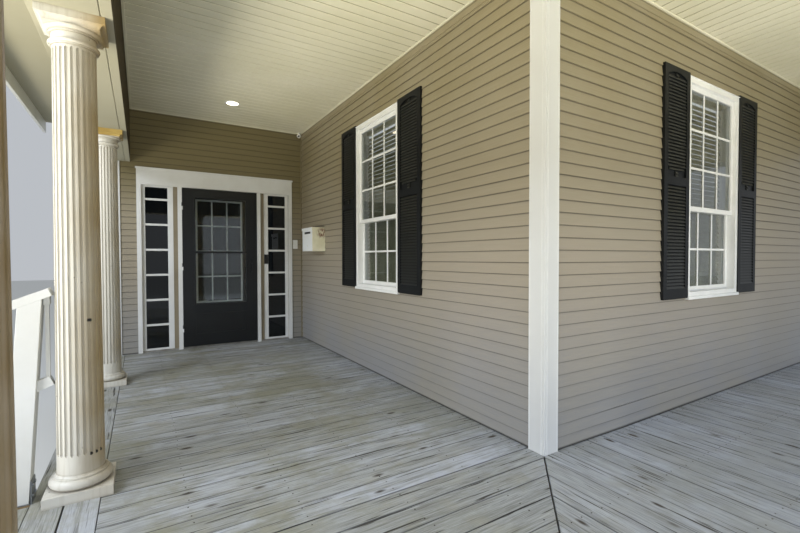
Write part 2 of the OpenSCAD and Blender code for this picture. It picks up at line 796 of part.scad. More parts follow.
module mailbox() color("#CFCBAE") at_mailbox() {
    translate([-mailbox_d, -mailbox_w / 2, mailbox_foot]) difference() {
        cube([mailbox_d, mailbox_w, mailbox_h]);
        translate([sheet_t, sheet_t, sheet_t])
            cube([mailbox_d - 2 * sheet_t, mailbox_w - 2 * sheet_t, mailbox_h]);
        translate([-1, (mailbox_w - slot_w) / 2, mailbox_h - slot_drop]) cube([sheet_t + 2, slot_w, slot_h]);
    }
    translate([-mailbox_d, 0, mailbox_foot + lock_z]) rotate([0, -90, 0]) cylinder(h = 5, r = lock_r);
    for (y = [-mailbox_w / 2, mailbox_w / 2 - knuckle_w]) {
        lid_knuckle(y, knuckle_w);
        translate([pin_x, y, mailbox_top - sheet_t]) cube([-pin_x, knuckle_w, sheet_t + 1]);
    }
}

lid_end = 4 * pin_r;
seat_gap = 0.3;
module mailbox_lid() color("#CFCBAE") at_mailbox() {
    translate([-mailbox_d - lid_gap - sheet_t, 0, mailbox_top + seat_gap]) difference() {
        translate([0, -mailbox_w / 2 - lid_gap - sheet_t, -lid_skirt])
            cube([mailbox_d + lid_gap + sheet_t - lid_end + pin_x,
                mailbox_w + 2 * (lid_gap + sheet_t), lid_skirt + sheet_t]);
        translate([sheet_t, -mailbox_w / 2 - lid_gap, -lid_skirt - 1])
            cube([mailbox_d, mailbox_w + 2 * lid_gap, lid_skirt + 1]);
    }
    lid_knuckle(knuckle_w + seat_gap - mailbox_w / 2, mailbox_w - 2 * (knuckle_w + seat_gap));
    translate([pin_x - lid_end - 1, knuckle_w + 5 - mailbox_w / 2, mailbox_top + seat_gap])
        cube([lid_end + 1, mailbox_w - 2 * (knuckle_w + 5), sheet_t]);
}

// Bell box by the inner corner, keypad on the sidelight, lamp trim and camera at the ceiling.
bell = [65, 22, 130];
bell_spot = [-75, 1310];
keypad = [50, 18, 132];
keypad_foot = 1094;
lamp_r = 85;
lamp_hole_r = 66;
lamp_t = 12;
lamp_out = 1104;
lamp_back = 833;
camera_r = 30;
camera_drop = 45;
module wall_fittings() color("#E8E8E4") {
    translate([bell_spot[0] - bell[0], side_len - bell[1], deck_h + bell_spot[1]]) cube(bell);
    at_entry() translate([post_out + light_stile / 2 - keypad[0] / 2, light_out_y - keypad[1], keypad_foot])
        cube(keypad);
    translate([-lamp_out, side_len - lamp_back, deck_h + ceiling_h - lamp_t]) difference() {
        cylinder(h = lamp_t, r = lamp_r);
        translate([0, 0, -1]) cylinder(h = lamp_t, r = lamp_hole_r);
    }
    camera_in = camera_r + corner_strip;
    translate([-camera_in, side_len - camera_in, deck_h + ceiling_h - camera_drop]) {
        cylinder(h = camera_drop, r = 0.6 * camera_r);
        sphere(r = camera_r);
    }
}

foundation();
side_wall();
front_wall();
entry_wall_sides();
entry_wall_over();
corner_boards();
deck_boards();
deck_border();
joists();
cross_beams();
piers();
column_bases();
column_shafts();
column_capitals();
beam_side();
beam_front();
beam_end();
ceilings();
soffits();
fascias();
roof_ends();
roof_side();
roof_front();
window_frames();
window_sashes();
window_glass();
shutters();
entry_posts();
entry_head();
entry_threshold();
entry_casings();
sidelights();
storm_door();
storm_door_glass();
storm_door_handle();
entry_door();
entry_door_glass();
stair_treads();
stair_stringers();
stair_newels();
newel_shoes();
stair_rails();
mailbox();
mailbox_lid();
wall_fittings();
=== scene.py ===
# %% [markdown]
# A wraparound porch, dressed for its portrait
#
# The construction of this porch comes ready made: walls, deck, columns, beams, roof and doors
# stand at their real size in a shared frame. This lesson adds what the eye expects on them,
# such as lapped siding, weathered deck boards, louvres, blinds and shingles, and paints it all.

# %% Load the frame
import math
import random

import bmesh
import bpy
from mathutils import Matrix, Vector


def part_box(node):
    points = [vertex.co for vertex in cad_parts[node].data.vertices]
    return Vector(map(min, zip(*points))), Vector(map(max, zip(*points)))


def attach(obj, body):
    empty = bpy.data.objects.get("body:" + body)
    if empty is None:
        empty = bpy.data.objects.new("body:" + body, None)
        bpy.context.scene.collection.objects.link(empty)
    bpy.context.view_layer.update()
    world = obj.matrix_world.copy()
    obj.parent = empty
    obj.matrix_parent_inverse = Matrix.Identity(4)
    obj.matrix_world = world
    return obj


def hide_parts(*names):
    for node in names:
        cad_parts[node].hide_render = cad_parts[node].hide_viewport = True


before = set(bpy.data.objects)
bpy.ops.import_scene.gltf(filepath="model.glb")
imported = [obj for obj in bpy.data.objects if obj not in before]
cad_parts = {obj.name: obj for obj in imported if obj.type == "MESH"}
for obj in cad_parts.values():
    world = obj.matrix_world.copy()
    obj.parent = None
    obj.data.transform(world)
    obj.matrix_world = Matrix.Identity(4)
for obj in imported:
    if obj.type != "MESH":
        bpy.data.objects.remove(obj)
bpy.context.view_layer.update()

# %% [markdown]
# The sizes that many pieces share are read from the frame, so that every board and bar follows
# the construction. X = 0 is the side wall's face, Y = 0 is the front wall's face, and both wings
# meet at the house corner. What is drawn for the side wing is turned over the diagonal, where
# X and Y change places, to serve the front wing.

# %% Shared sizes
deck_low, deck_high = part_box("deck_boards")
deck_top = deck_high.z
board_t = deck_high.z - deck_low.z
border_in = -deck_low.x
deck_reach = -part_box("deck_border")[0].x
side_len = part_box("side_wall")[1].y
front_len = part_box("front_wall")[1].x
wall_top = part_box("side_wall")[1].z
entry_wall_end = -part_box("entry_wall_sides")[0].x
ceiling_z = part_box("ceilings")[0].z
beam_in = -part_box("ceilings")[0].x
front_deck_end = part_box("deck_border")[1].x
print("deck top", round(deck_top, 3), "reach", round(deck_reach, 3), "ceiling", round(ceiling_z, 3))

# %% [markdown]
# The camera stands on the deck near the corner column, at chest height, and looks along the side
# wing towards the door. It is turned by a yaw, a pitch and a roll. Its focal length was measured
# in pixels of a picture 800 wide, so the lens is that share of the sensor's width.

# %% Camera
image_w, focal_px, sensor_w = 800, 423.5, 36
camera_x, camera_y, camera_height = -2.036, -1.694, 1.175
yaw, pitch, roll = math.radians(31.38), math.radians(-1.17), math.radians(-0.11)
camera_data = bpy.data.cameras.new("porch_camera")
camera_data.sensor_width = sensor_w
camera_data.lens = focal_px / image_w * sensor_w
camera = bpy.data.objects.new("porch_camera", camera_data)
bpy.context.scene.collection.objects.link(camera)
bpy.context.scene.camera = camera
turn = Matrix.Rotation(-yaw, 4, "Z") @ Matrix.Rotation(math.pi / 2 + pitch, 4, "X")
turn = turn @ Matrix.Rotation(roll, 4, "Z")
camera.matrix_world = Matrix.Translation((camera_x, camera_y, deck_top + camera_height)) @ turn
print("camera lens", round(camera_data.lens, 2), "mm")

# %% [markdown]
# A material is a small tree of nodes. Colours are easiest to name as hex text, as on a paint
# chart, but shaders work with linear light, so one function turns the text into it. Another adds
# any node with its settings and fills or links its inputs, and a third starts a material.

# %% Colours and nodes
def linear(text, alpha=1.0):
    """Turns an sRGB hex colour into the linear values that shaders work with."""
    parts = [int(text[i:i + 2], 16) / 255 for i in (1, 3, 5)]
    return [p / 12.92 if p <= 0.04045 else ((p + 0.055) / 1.055) ** 2.4 for p in parts] + [alpha]


def add(tree, kind, inputs=None, **settings):
    """Adds one shader node, sets its settings, and fills or links its inputs."""
    node = tree.nodes.new(kind)
    for key, value in settings.items():
        setattr(node, key, value)
    for key, value in (inputs or {}).items():
        if isinstance(value, bpy.types.NodeSocket):
            tree.links.new(value, node.inputs[key])
        else:
            node.inputs[key].default_value = value
    return node


def new_finish(name, roughness, **shader):
    """Starts a material and returns it with its node tree and its main shader."""
    finish = bpy.data.materials.new(name)
    finish.use_nodes = True
    bsdf = finish.node_tree.nodes["Principled BSDF"]
    bsdf.inputs["Roughness"].default_value = roughness
    for key, value in shader.items():
        bsdf.inputs[key.replace("_", " ")].default_value = value
    return finish, finish.node_tree, bsdf


print("middle grey is", round(linear("#808080")[0], 3), "in linear light")

# %% [markdown]
# The studio has a soft even sky and large soft boxes. A porch is lit from its open sides. Two
# cool boxes stand high outside the two rows of columns, so that every lap of the siding throws a
# line of shadow. Two warm ones lie low and face upwards with a narrow spread: they stand for the
# light that sunlit ground throws back under a roof, and light the ceiling. Point lamps could
# do it too, but only large ones give shadows with soft edges.

# %% Sky and soft boxes
world = bpy.data.worlds.new("soft_sky")
world.use_nodes = True
sky = world.node_tree.nodes["Background"]
sky.inputs["Color"].default_value = linear("#EEF3FA")
sky.inputs["Strength"].default_value = 0.58
bpy.context.scene.world = world
bpy.context.scene.view_settings.view_transform = "Standard"


def soft_box(name, place, target, width, height, power, tint, spread=180, mirrored=True):
    """An area light that faces its target. Where it isn't mirrored, no glass shows it."""
    data = bpy.data.lights.new(name, "AREA")
    data.shape, data.size, data.size_y = "RECTANGLE", width, height
    data.energy, data.color, data.spread = power, linear(tint)[:3], math.radians(spread)
    lamp = bpy.data.objects.new(name, data)
    lamp.location = place
    lamp.visible_glossy = lamp.visible_transmission = mirrored
    lamp.rotation_euler = (Vector(target) - Vector(place)).to_track_quat("-Z", "Y").to_euler()
    bpy.context.scene.collection.objects.link(lamp)


soft_box("left_sky", (-7.5, -1.3, 5.4), (-0.5, -0.6, 1.0), 5.0, 3.0, 560, "#E9F1FF")
soft_box("front_sky", (-0.8, -7.5, 5.4), (0.4, -0.5, 1.0), 4.6, 3.0, 460, "#DDE9FF")
soft_box("left_ground", (-5.0, -0.5, 0.25), (-1.6, 0.4, 3.5), 4.4, 2.2, 185, "#FFF7E0",
         spread=95, mirrored=False)
soft_box("front_ground", (0.8, -5.0, 0.25), (0.8, -1.6, 3.5), 4.6, 2.2, 160, "#FFF9E4",
         spread=95, mirrored=False)
print("soft boxes:", [lamp.name for lamp in bpy.data.lights])

# %% [markdown]
# The floor is one wide sheet of matt studio paper.

# %% Floor
floor_shape = bmesh.new()
bmesh.ops.create_grid(floor_shape, x_segments=1, y_segments=1, size=40)
floor_mesh = bpy.data.meshes.new("studio_floor")
floor_shape.to_mesh(floor_mesh)
floor_shape.free()
studio_floor = bpy.data.objects.new("studio_floor", floor_mesh)
bpy.context.scene.collection.objects.link(studio_floor)
studio_paper, tree, bsdf = new_finish("pale_studio_paper", 0.8)
bsdf.inputs["Base Color"].default_value = linear("#D5D6D3")
floor_mesh.materials.append(studio_paper)
print("made", studio_floor.name, "with", studio_paper.name)

# %% [markdown]
# Weather is painted in coats. A coat is a colour laid over what is there, where some value goes
# from a start to a full share. The value may be a height, a distance or a pattern. The patterns
# are noise in a real size: a pattern with 200 cells to a metre has cells of 5 mm. Where the cells
# are longer one way than the other, they turn into grain, streaks or runs.

# %% Patterns and coats
def pattern(tree, source, cells, detail=3.0, **settings):
    """A noise with so many cells to a metre along each axis."""
    placed = add(tree, "ShaderNodeMapping", {"Vector": source, "Scale": cells}).outputs[0]
    inputs = {"Vector": placed, "Scale": 1.0, "Detail": detail, **settings}
    return add(tree, "ShaderNodeTexNoise", inputs).outputs[0]


def coat(tree, under, over, where, start=0.0, full=1.0, strength=1.0):
    """Lays a colour over another where a value goes from start to full. Hex texts serve as colours."""
    under, over = [linear(c) if isinstance(c, str) else c for c in (under, over)]
    share = add(tree, "ShaderNodeMapRange", {"Value": where, "From Min": start, "From Max": full,
                                             "To Max": strength}).outputs[0]
    return add(tree, "ShaderNodeMix", {0: share, 6: under, 7: over}, data_type="RGBA").outputs[2]


cell_mm = 5
print("cells of", cell_mm, "mm:", round(1000 / cell_mm), "to a metre")

# %% [markdown]
# Vinyl siding is an extruded sheet with a faint wood grain pressed into it, smooth enough for a soft sheen.
# Its colour changes with height: olive under the ceiling, as painted warm light from under the roof, beige in
# the middle and grey low down. The entry wall is darker olive high up, as painted shade. All this follows the
# height over the deck, so no picture is needed, and broad patches keep it from looking airbrushed.

# %% Siding colours
course = 0.0762
first_lap = deck_top + 0.004
siding_vinyl, tree, bsdf = new_finish("siding_vinyl", 0.5, Coat_Weight=0.05)
place = add(tree, "ShaderNodeTexCoord").outputs["Object"]
along = add(tree, "ShaderNodeSeparateXYZ", {0: place}).outputs
height = along["Z"]
# Patches of 770 mm, and a grain of 5 mm whose streaks are 300 mm long.
patches = pattern(tree, place, (1.3, 1.3, 1.3), 5.0)
streaks = pattern(tree, place, (3.3, 3.3, 200.0))
# Painted light: the olive high up stands in for the warm light under the roof.
vinyl = coat(tree, "#8D8262", "#A09685", height, deck_top + 2.5, deck_top + 1.2)
vinyl = coat(tree, vinyl, "#8F9092", height, deck_top + 1.1, deck_top + 0.2)
vinyl = coat(tree, vinyl, "#9C9480", patches, 0.3, 0.7, 0.5)
vinyl = coat(tree, vinyl, "#A9A190", streaks, 0.35, 0.75, 0.3)
# Painted shade: the entry wall is darker olive high up, where less light reaches it.
on_entry_wall = add(tree, "ShaderNodeMapRange", {"Value": along["Y"], "From Min": side_len - 0.021,
                                                 "From Max": side_len - 0.018}).outputs[0]
high_up = add(tree, "ShaderNodeMapRange", {"Value": height, "From Min": deck_top + 1.7,
                                           "From Max": deck_top + 2.2, "To Min": 0.2,
                                           "To Max": 0.7}).outputs[0]
entry_wall_shade = add(tree, "ShaderNodeMath", {0: on_entry_wall, 1: high_up}, operation="MULTIPLY").outputs[0]
vinyl = coat(tree, vinyl, "#6E6440", entry_wall_shade)
print("siding colours between", round(deck_top, 3), "and", round(deck_top + 2.5, 3), "m")

# %% [markdown]
# Painted shade darkens each course under the lap above, in its top 10 mm, and a painted shadow darkens the
# foot of the wall along the deck. It draws the fine dark lines that make siding read as siding. The height
# over the first lap, divided by the height of a course, has a fraction that says how far up its course a
# point lies.

# %% Painted shade under the laps
laps = add(tree, "ShaderNodeMath", {0: height, 1: first_lap}, operation="SUBTRACT").outputs[0]
laps = add(tree, "ShaderNodeMath", {0: laps, 1: course}, operation="DIVIDE").outputs[0]
laps = add(tree, "ShaderNodeMath", {0: laps}, operation="FRACT").outputs[0]
# Painted shade under each lap, in the top of the course below it.
vinyl = coat(tree, vinyl, "#38332A", laps, 0.87, 0.96, 0.6)
# Painted shadow along the deck at the foot of the wall.
vinyl = coat(tree, vinyl, "#26241F", height, first_lap + 0.014, first_lap + 0.004, 0.9)
tree.links.new(vinyl, bsdf.inputs["Base Color"])
pressed = add(tree, "ShaderNodeBump", {"Height": streaks, "Strength": 0.18, "Distance": 0.0006})
tree.links.new(pressed.outputs[0], bsdf.inputs["Normal"])
print("made", siding_vinyl.name, "with a line every", round(course * 1000), "mm")

# %% [markdown]
# The deck is pressure-treated pine that has gone grey in the weather, rough and without gloss.
# Its grain reads a UV map in metres that every board carries, so it turns with the board. A
# second map holds the distance to both long edges, and each board's tone is a number stored on
# its faces. First come the patterns: bands, fibres, splits, fine checks, knots and stains.

# %% Grain of the boards
weathered_pine, tree, bsdf = new_finish("weathered_pine", 0.8)
grain_map = add(tree, "ShaderNodeUVMap", uv_map="grain").outputs[0]
edge_map = add(tree, "ShaderNodeUVMap", uv_map="edges").outputs[0]
tone = add(tree, "ShaderNodeAttribute", attribute_name="tone").outputs["Fac"]
place = add(tree, "ShaderNodeTexCoord").outputs["Object"]
# Growth rings show as bands 50 mm wide, and fibres as lines 7 mm wide and 200 mm long. Real fibres
# are finer, and these are as coarse as they need to be to show.
bands = pattern(tree, grain_map, (1.6, 20.0, 1.0), 6.0, Roughness=0.65, Distortion=0.6)
fibres = pattern(tree, grain_map, (5.0, 150.0, 1.0), 4.0, Roughness=0.7)
# Splits lie up to 17 mm apart and are 450 mm long, checks 8 mm apart and 250 mm long.
splits = pattern(tree, grain_map, (2.2, 60.0, 1.0), 3.0)
splits = add(tree, "ShaderNodeMapRange", {"Value": splits, "From Min": 0.62, "From Max": 0.66}).outputs[0]
checks = pattern(tree, grain_map, (4.0, 130.0, 1.0), 2.0)
# One knot at most in each cell of 310 by 110 mm, in four cells of ten, and up to 90 mm long.
knot_cells = add(tree, "ShaderNodeMapping", {"Vector": grain_map, "Scale": (3.2, 9.0, 1.0)}).outputs[0]
knot_cells = add(tree, "ShaderNodeTexVoronoi", {"Vector": knot_cells, "Scale": 1.0})
drawn = add(tree, "ShaderNodeSeparateColor", {0: knot_cells.outputs["Color"]}).outputs[0]
drawn = add(tree, "ShaderNodeMapRange", {"Value": drawn, "From Min": 0.58, "From Max": 0.6}).outputs[0]
round_knot = add(tree, "ShaderNodeMapRange", {"Value": knot_cells.outputs["Distance"], "From Min": 0.15,
                                              "From Max": 0.07}).outputs[0]
knots = add(tree, "ShaderNodeMath", {0: round_knot, 1: drawn}, operation="MULTIPLY").outputs[0]
# Stains of 830 mm and blotches of 170 mm run over the boards.
stains = pattern(tree, place, (1.2, 1.2, 1.2), 8.0, Roughness=0.7)
blotches = pattern(tree, place, (6.0, 6.0, 6.0), 6.0, Roughness=0.7)
print("grain patterns:", len(tree.nodes), "nodes")

# %% [markdown]
# Then come the coats, from the broad and pale to the narrow and dark. The front wing is a cooler grey, as
# painted cool light from the sky in front. Dirt fills the last 4 mm towards a board's edge. The fibres also
# stand proud of the splits, which the bump gives, because washed wood feels like combed cord.

# %% Weathered pine
wood = coat(tree, "#92938D", "#B6BAC2", tone)
wood = coat(tree, wood, "#77776E", bands, 0.42, 0.6, 0.7)
wood = coat(tree, wood, "#C3C6C6", fibres, 0.46, 0.66, 0.5)
wood = coat(tree, wood, "#66645D", fibres, 0.44, 0.28, 0.6)
wood = coat(tree, wood, "#828069", stains, 0.47, 0.6, 0.7)
wood = coat(tree, wood, "#9A9686", blotches, 0.5, 0.66, 0.4)
along_x = add(tree, "ShaderNodeSeparateXYZ", {0: place}).outputs["X"]
# Painted cool sky light on the front wing.
wood = coat(tree, wood, "#9DA5B8", along_x, -0.8, 0.8, 0.4)
wood = coat(tree, wood, "#56534C", checks, 0.6, 0.66, 0.55)
wood = coat(tree, wood, "#40382F", knots)
wood = coat(tree, wood, "#3E3B35", splits)
edges = add(tree, "ShaderNodeSeparateXYZ", {0: edge_map}).outputs
nearest = add(tree, "ShaderNodeMath", {0: edges["X"], 1: edges["Y"]}, operation="MINIMUM").outputs[0]
wood = coat(tree, wood, "#2B2A26", nearest, 0.004, 0.0005, 0.7)
tree.links.new(wood, bsdf.inputs["Base Color"])
relief = add(tree, "ShaderNodeMath", {0: fibres, 1: splits}, operation="SUBTRACT").outputs[0]
raised = add(tree, "ShaderNodeBump", {"Height": relief, "Strength": 0.6, "Distance": 0.0014})
tree.links.new(raised.outputs[0], bsdf.inputs["Normal"])
print("made", weathered_pine.name)

# %% [markdown]
# The columns are fluted shells under old cream enamel, brushed on and half matt. The outer side is cream, and
# the side towards the house is ochre: partly yellowed paint and partly painted shade, since that side is in
# shade. How far a point lies from the line of the columns' centres tells the two apart, and a noise breaks
# the border. Rain splash keeps the feet clean, and the column beside the door is cream further round. On the
# front wing the side towards the house is browner, as painted shade.

# %% Column enamel
column_line = 2.31
column_enamel, tree, bsdf = new_finish("column_enamel", 0.5, Coat_Weight=0.08)
place = add(tree, "ShaderNodeTexCoord").outputs["Object"]
along = add(tree, "ShaderNodeSeparateXYZ", {0: place}).outputs
# Patches of 330 mm.
old_paint = pattern(tree, place, (3.0, 3.0, 3.0), 6.0)
edge = add(tree, "ShaderNodeMath", {0: along["X"], 1: along["Y"]}, operation="MINIMUM").outputs[0]
beside_door = add(tree, "ShaderNodeMapRange", {"Value": along["Y"], "From Min": 2.6, "From Max": 2.9,
                                               "To Max": -0.07}).outputs[0]
edge = add(tree, "ShaderNodeMath", {0: edge, 1: beside_door}).outputs[0]
edge = add(tree, "ShaderNodeMath", {0: old_paint, 1: 0.16, 2: edge}, operation="MULTIPLY_ADD").outputs[0]
inner_side = add(tree, "ShaderNodeMapRange", {"Value": edge, "From Min": 0.05 - column_line,
                                              "From Max": 0.19 - column_line}).outputs[0]
over_foot = add(tree, "ShaderNodeMapRange", {"Value": along["Z"], "From Min": deck_top + 0.05,
                                             "From Max": deck_top + 0.2, "To Min": 0.25}).outputs[0]
yellowed_and_shaded = add(tree, "ShaderNodeMath", {0: inner_side, 1: over_foot}, operation="MULTIPLY").outputs[0]
# Partly yellowed paint and partly painted shade; the deeper brown on the front wing is painted shade.
ochre = coat(tree, "#A48E62", "#6A5738", along["Y"], 0.2, -0.2, 0.7)
paint = coat(tree, "#CECBC1", ochre, yellowed_and_shaded)
print("columns stand", column_line, "m out from the walls")

# %% [markdown]
# Wear comes next. Painted shade darkens the flutes, where an ambient occlusion of 20 mm finds them, rain
# leaves brown runs, and small chips are dark. The last column of the side wing has lost the paint of its
# wooden abacus, and the one before it has small holes at the feet of three flutes and one higher up. A hole
# isn't cut: it is painted near black as the shade inside it, where a point lies inside a small ball, which is
# placed by its angle round the shaft.

# %% Wear and painted shade on the columns
flute_shade = add(tree, "ShaderNodeAmbientOcclusion", {"Distance": 0.02}, samples=6).outputs["AO"]
# Runs 22 mm apart and 400 mm long, and chips that come up in cells of 26 mm.
run_marks = pattern(tree, place, (45.0, 45.0, 2.5))
chips = pattern(tree, place, (38.0, 38.0, 38.0), 2.0)
# Painted shade in the flutes.
paint = coat(tree, paint, "#6B5A3C", flute_shade, 0.85, 0.35, 0.5)
paint = coat(tree, paint, "#7F6C49", run_marks, 0.5, 0.75, 0.25)
paint = coat(tree, paint, "#4E3F2C", chips, 0.76, 0.78, 0.8)
last_column_y, abacus_h, beam_foot = 3.1, 0.06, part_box("beam_side")[0].z
past_column = add(tree, "ShaderNodeMath", {0: along["Y"], 1: last_column_y}, operation="SUBTRACT").outputs[0]
past_column = add(tree, "ShaderNodeMath", {0: past_column}, operation="ABSOLUTE").outputs[0]
at_column = add(tree, "ShaderNodeMapRange", {"Value": past_column, "From Min": 0.3,
                                             "From Max": 0.25}).outputs[0]
at_abacus = add(tree, "ShaderNodeMapRange", {"Value": along["Z"], "From Min": beam_foot - abacus_h,
                                             "From Max": beam_foot - 0.9 * abacus_h}).outputs[0]
bare = add(tree, "ShaderNodeMath", {0: at_column, 1: at_abacus}, operation="MULTIPLY").outputs[0]
bare_wood = coat(tree, "#BEA562", "#94702F", old_paint, 0.35, 0.65)
paint = coat(tree, paint, bare_wood, bare)
holed_column_y, flute_rim_r, flute_foot = 0.975, 0.096, deck_top + 0.205
foot_holes = [(-60, 0.0, 0.006), (-45, 0.0, 0.006), (-30, 0.0, 0.006)]
upper_hole = (-59, 0.665, 0.008)
# Each hole is painted near black as the shade inside it.
for angle, up, radius in foot_holes + [upper_hole]:
    spot = (-column_line + flute_rim_r * math.cos(math.radians(angle)),
            holed_column_y + flute_rim_r * math.sin(math.radians(angle)), flute_foot + up)
    away = add(tree, "ShaderNodeVectorMath", {0: place, 1: spot}, operation="DISTANCE").outputs["Value"]
    paint = coat(tree, paint, "#14100B", away, 1.6 * radius, radius)
tree.links.new(paint, bsdf.inputs["Base Color"])
brushed = add(tree, "ShaderNodeBump", {"Height": run_marks, "Strength": 0.15, "Distance": 0.0008})
tree.links.new(brushed.outputs[0], bsdf.inputs["Normal"])
print("made", column_enamel.name, "with", len(foot_holes) + 1, "holes")

# %% [markdown]
# The rest are simpler finishes of the same family: an enamel or a plastic with a base colour,
# broad patches that keep it from being flat, and a small bump. One function makes them, since
# they differ only in their colours, their sheen and how coarse their surface is.

# %% Plain finishes
def plain_finish(name, light, dark, roughness, patch=2.0, bump=0.1, grit=0.002, **shader):
    """A finish between two near colours, with so many patches to a metre and grit of a size in metres."""
    finish, tree, bsdf = new_finish(name, roughness, **shader)
    place = add(tree, "ShaderNodeTexCoord").outputs["Object"]
    patches = pattern(tree, place, (patch, patch, patch), 6.0, Roughness=0.6)
    tree.links.new(coat(tree, light, dark, patches, 0.35, 0.65), bsdf.inputs["Base Color"])
    surface = pattern(tree, place, (1 / grit, 1 / grit, 1 / grit), 2.0)
    raised = add(tree, "ShaderNodeBump", {"Height": surface, "Strength": bump, "Distance": grit / 4})
    tree.links.new(raised.outputs[0], bsdf.inputs["Normal"])
    return finish


# Painted plaster on the inner side of the walls, rolled on and quite matt.
wall_plaster = plain_finish("wall_plaster", "#DAD7CF", "#D0CCC3", 0.8, patch=2.0)
print("a plain finish has", len(wall_plaster.node_tree.nodes), "nodes")

# %% [markdown]
# Exterior enamel is brushed on over pine trim. Its brush marks are about 6 mm apart and break up
# the highlight. The doors have a semi-gloss black enamel that is rubbed smooth, and the posts
# between door and sidelights a half matt taupe.

# %% Paints
# White trim with a little grime, satin.
trim_enamel = plain_finish("trim_enamel", "#E0E1DF", "#D8D8D4", 0.42, patch=3.0, bump=0.15, grit=0.006)
# The cream of the beams, for the one that closes the open end of the side wing.
end_enamel = plain_finish("end_beam_enamel", "#BDBAA9", "#AAA58E", 0.5, patch=1.8, bump=0.15, grit=0.006)
# Black, with a highlight that stays narrow.
door_enamel = plain_finish("door_enamel", "#121517", "#0C0E10", 0.3, patch=4.0, bump=0.06)
# Taupe, half matt.
taupe_enamel = plain_finish("taupe_enamel", "#8B8069", "#7B715C", 0.5, patch=3.0)
# Baked on the slats of the blinds, smooth and half matt.
blind_enamel = plain_finish("blind_enamel", "#ABA78A", "#989476", 0.5, patch=6.0, bump=0.03)
print("made", len(bpy.data.materials), "finishes so far")

# %% [markdown]
# Plastics take their surface from the mould or the die. Ceiling vinyl is matt, and the same vinyl is a darker
# olive in its grooves, as painted shade. Window vinyl is extruded, smooth and slightly glossy.
# Shutters are moulded polypropylene with a pressed grain of 4 mm, and nylon is nearly smooth.

# %% Plastics
ceiling_vinyl = plain_finish("ceiling_vinyl", "#EAE6D0", "#DFDBC0", 0.6, patch=0.9, bump=0.1)
# Painted shade in the grooves between the ribs.
groove_shade_vinyl = plain_finish("ceiling_vinyl_groove_shade", "#A9A282", "#999272", 0.8, patch=0.9, bump=0.1)
window_vinyl = plain_finish("window_vinyl", "#F6F6F4", "#ECEDEA", 0.32, patch=4.0, bump=0.03)
shutter_plastic = plain_finish("shutter_polypropylene", "#17191A", "#0F1112", 0.5, patch=5.0,
                               bump=0.35, grit=0.004, Specular_IOR_Level=0.3)
# Black nylon of the lock, the mailbox flap and the camera's eye.
black_nylon = plain_finish("black_nylon", "#15171A", "#0F1113", 0.4, patch=20.0, bump=0.1)
print("made", len(bpy.data.materials), "finishes so far")

# %% [markdown]
# Below the deck and at its edges the bare materials show. Metals keep the default IOR and are
# dulled by their oxide, so they aren't quite metallic. Concrete has pores of about 12 mm, and
# rough sawn timber has saw marks 8 mm apart.

# %% Metal, concrete and timber
# Hot-dip galvanised steel of the post shoes: a broad spangle of 25 mm on a dull metal.
galvanised_steel = plain_finish("galvanised_steel", "#A4A8AC", "#85898D", 0.45, patch=40.0, bump=0.1,
                                Metallic=0.85)
# Mill aluminium of the threshold, scuffed by shoes.
mill_aluminium = plain_finish("mill_aluminium", "#B4B1A9", "#96928A", 0.4, patch=12.0, Metallic=0.8)
# Rusted steel of the deck screws, brown and nearly matt.
rusty_steel = plain_finish("rusty_steel", "#4A4038", "#332C27", 0.7, patch=60.0, bump=0.2, Metallic=0.4)
# Cast concrete of the foundation and piers, chalky.
cast_concrete = plain_finish("cast_concrete", "#A8A398", "#8A857B", 0.9, patch=5.0, bump=0.6, grit=0.012)
# Rough sawn pine under the deck, grey-brown with age.
framing_pine = plain_finish("framing_pine", "#A48C68", "#7E6B50", 0.85, patch=9.0, bump=0.4, grit=0.008)
print("made", len(bpy.data.materials), "finishes so far")

# %% [markdown]
# The beams are a chalky cream below and outside, with hardly any gloss left. Their inner faces are dark olive
# brown. The frame says how far in the beams reach, and the finish changes just before it.

# %% Beam enamel
beam_enamel, tree, bsdf = new_finish("beam_enamel", 0.8, Specular_IOR_Level=0.15)
place = add(tree, "ShaderNodeTexCoord").outputs["Object"]
along = add(tree, "ShaderNodeSeparateXYZ", {0: place}).outputs
inward = add(tree, "ShaderNodeMath", {0: along["X"], 1: along["Y"]}, operation="MINIMUM").outputs[0]
beam_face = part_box("beam_side")[1].x
# Patches of 560 mm, and brush marks of 6 mm.
chalky = coat(tree, "#B2AF9E", "#A09B84", pattern(tree, place, (1.8, 1.8, 1.8), 6.0))
# Darker olive brown on the inner faces.
chalky = coat(tree, chalky, "#4B4230", inward, beam_face - 0.0025, beam_face - 0.0015)
tree.links.new(chalky, bsdf.inputs["Base Color"])
brushed = add(tree, "ShaderNodeBump", {"Height": pattern(tree, place, (170.0, 170.0, 170.0), 2.0),
                                       "Strength": 0.15, "Distance": 0.0015})
tree.links.new(brushed.outputs[0], bsdf.inputs["Normal"])
print("made", beam_enamel.name, "with the inner face at", round(beam_face, 3))

# %% [markdown]
# The louvres of the shutters are the same polypropylene as their frames. They catch the light on their faces,
# and the part of each that the next louvre hangs over is painted black as shade. Each corner of a louvre
# stores how far up it lies, from 0 to 1, as "rise", and the finish reads it.

# %% Louvre plastic
louvre_plastic, tree, bsdf = new_finish("louvre_polypropylene", 0.45)
place = add(tree, "ShaderNodeTexCoord").outputs["Object"]
rise = add(tree, "ShaderNodeAttribute", attribute_name="rise").outputs["Fac"]
# Faded patches of 200 mm.
faded = coat(tree, "#2C2E2C", "#222423", pattern(tree, place, (5.0, 5.0, 5.0)))
# Painted shade: black where the next louvre hangs over.
tree.links.new(coat(tree, faded, "#050606", rise, 0.5, 0.75), bsdf.inputs["Base Color"])
print("made", louvre_plastic.name)

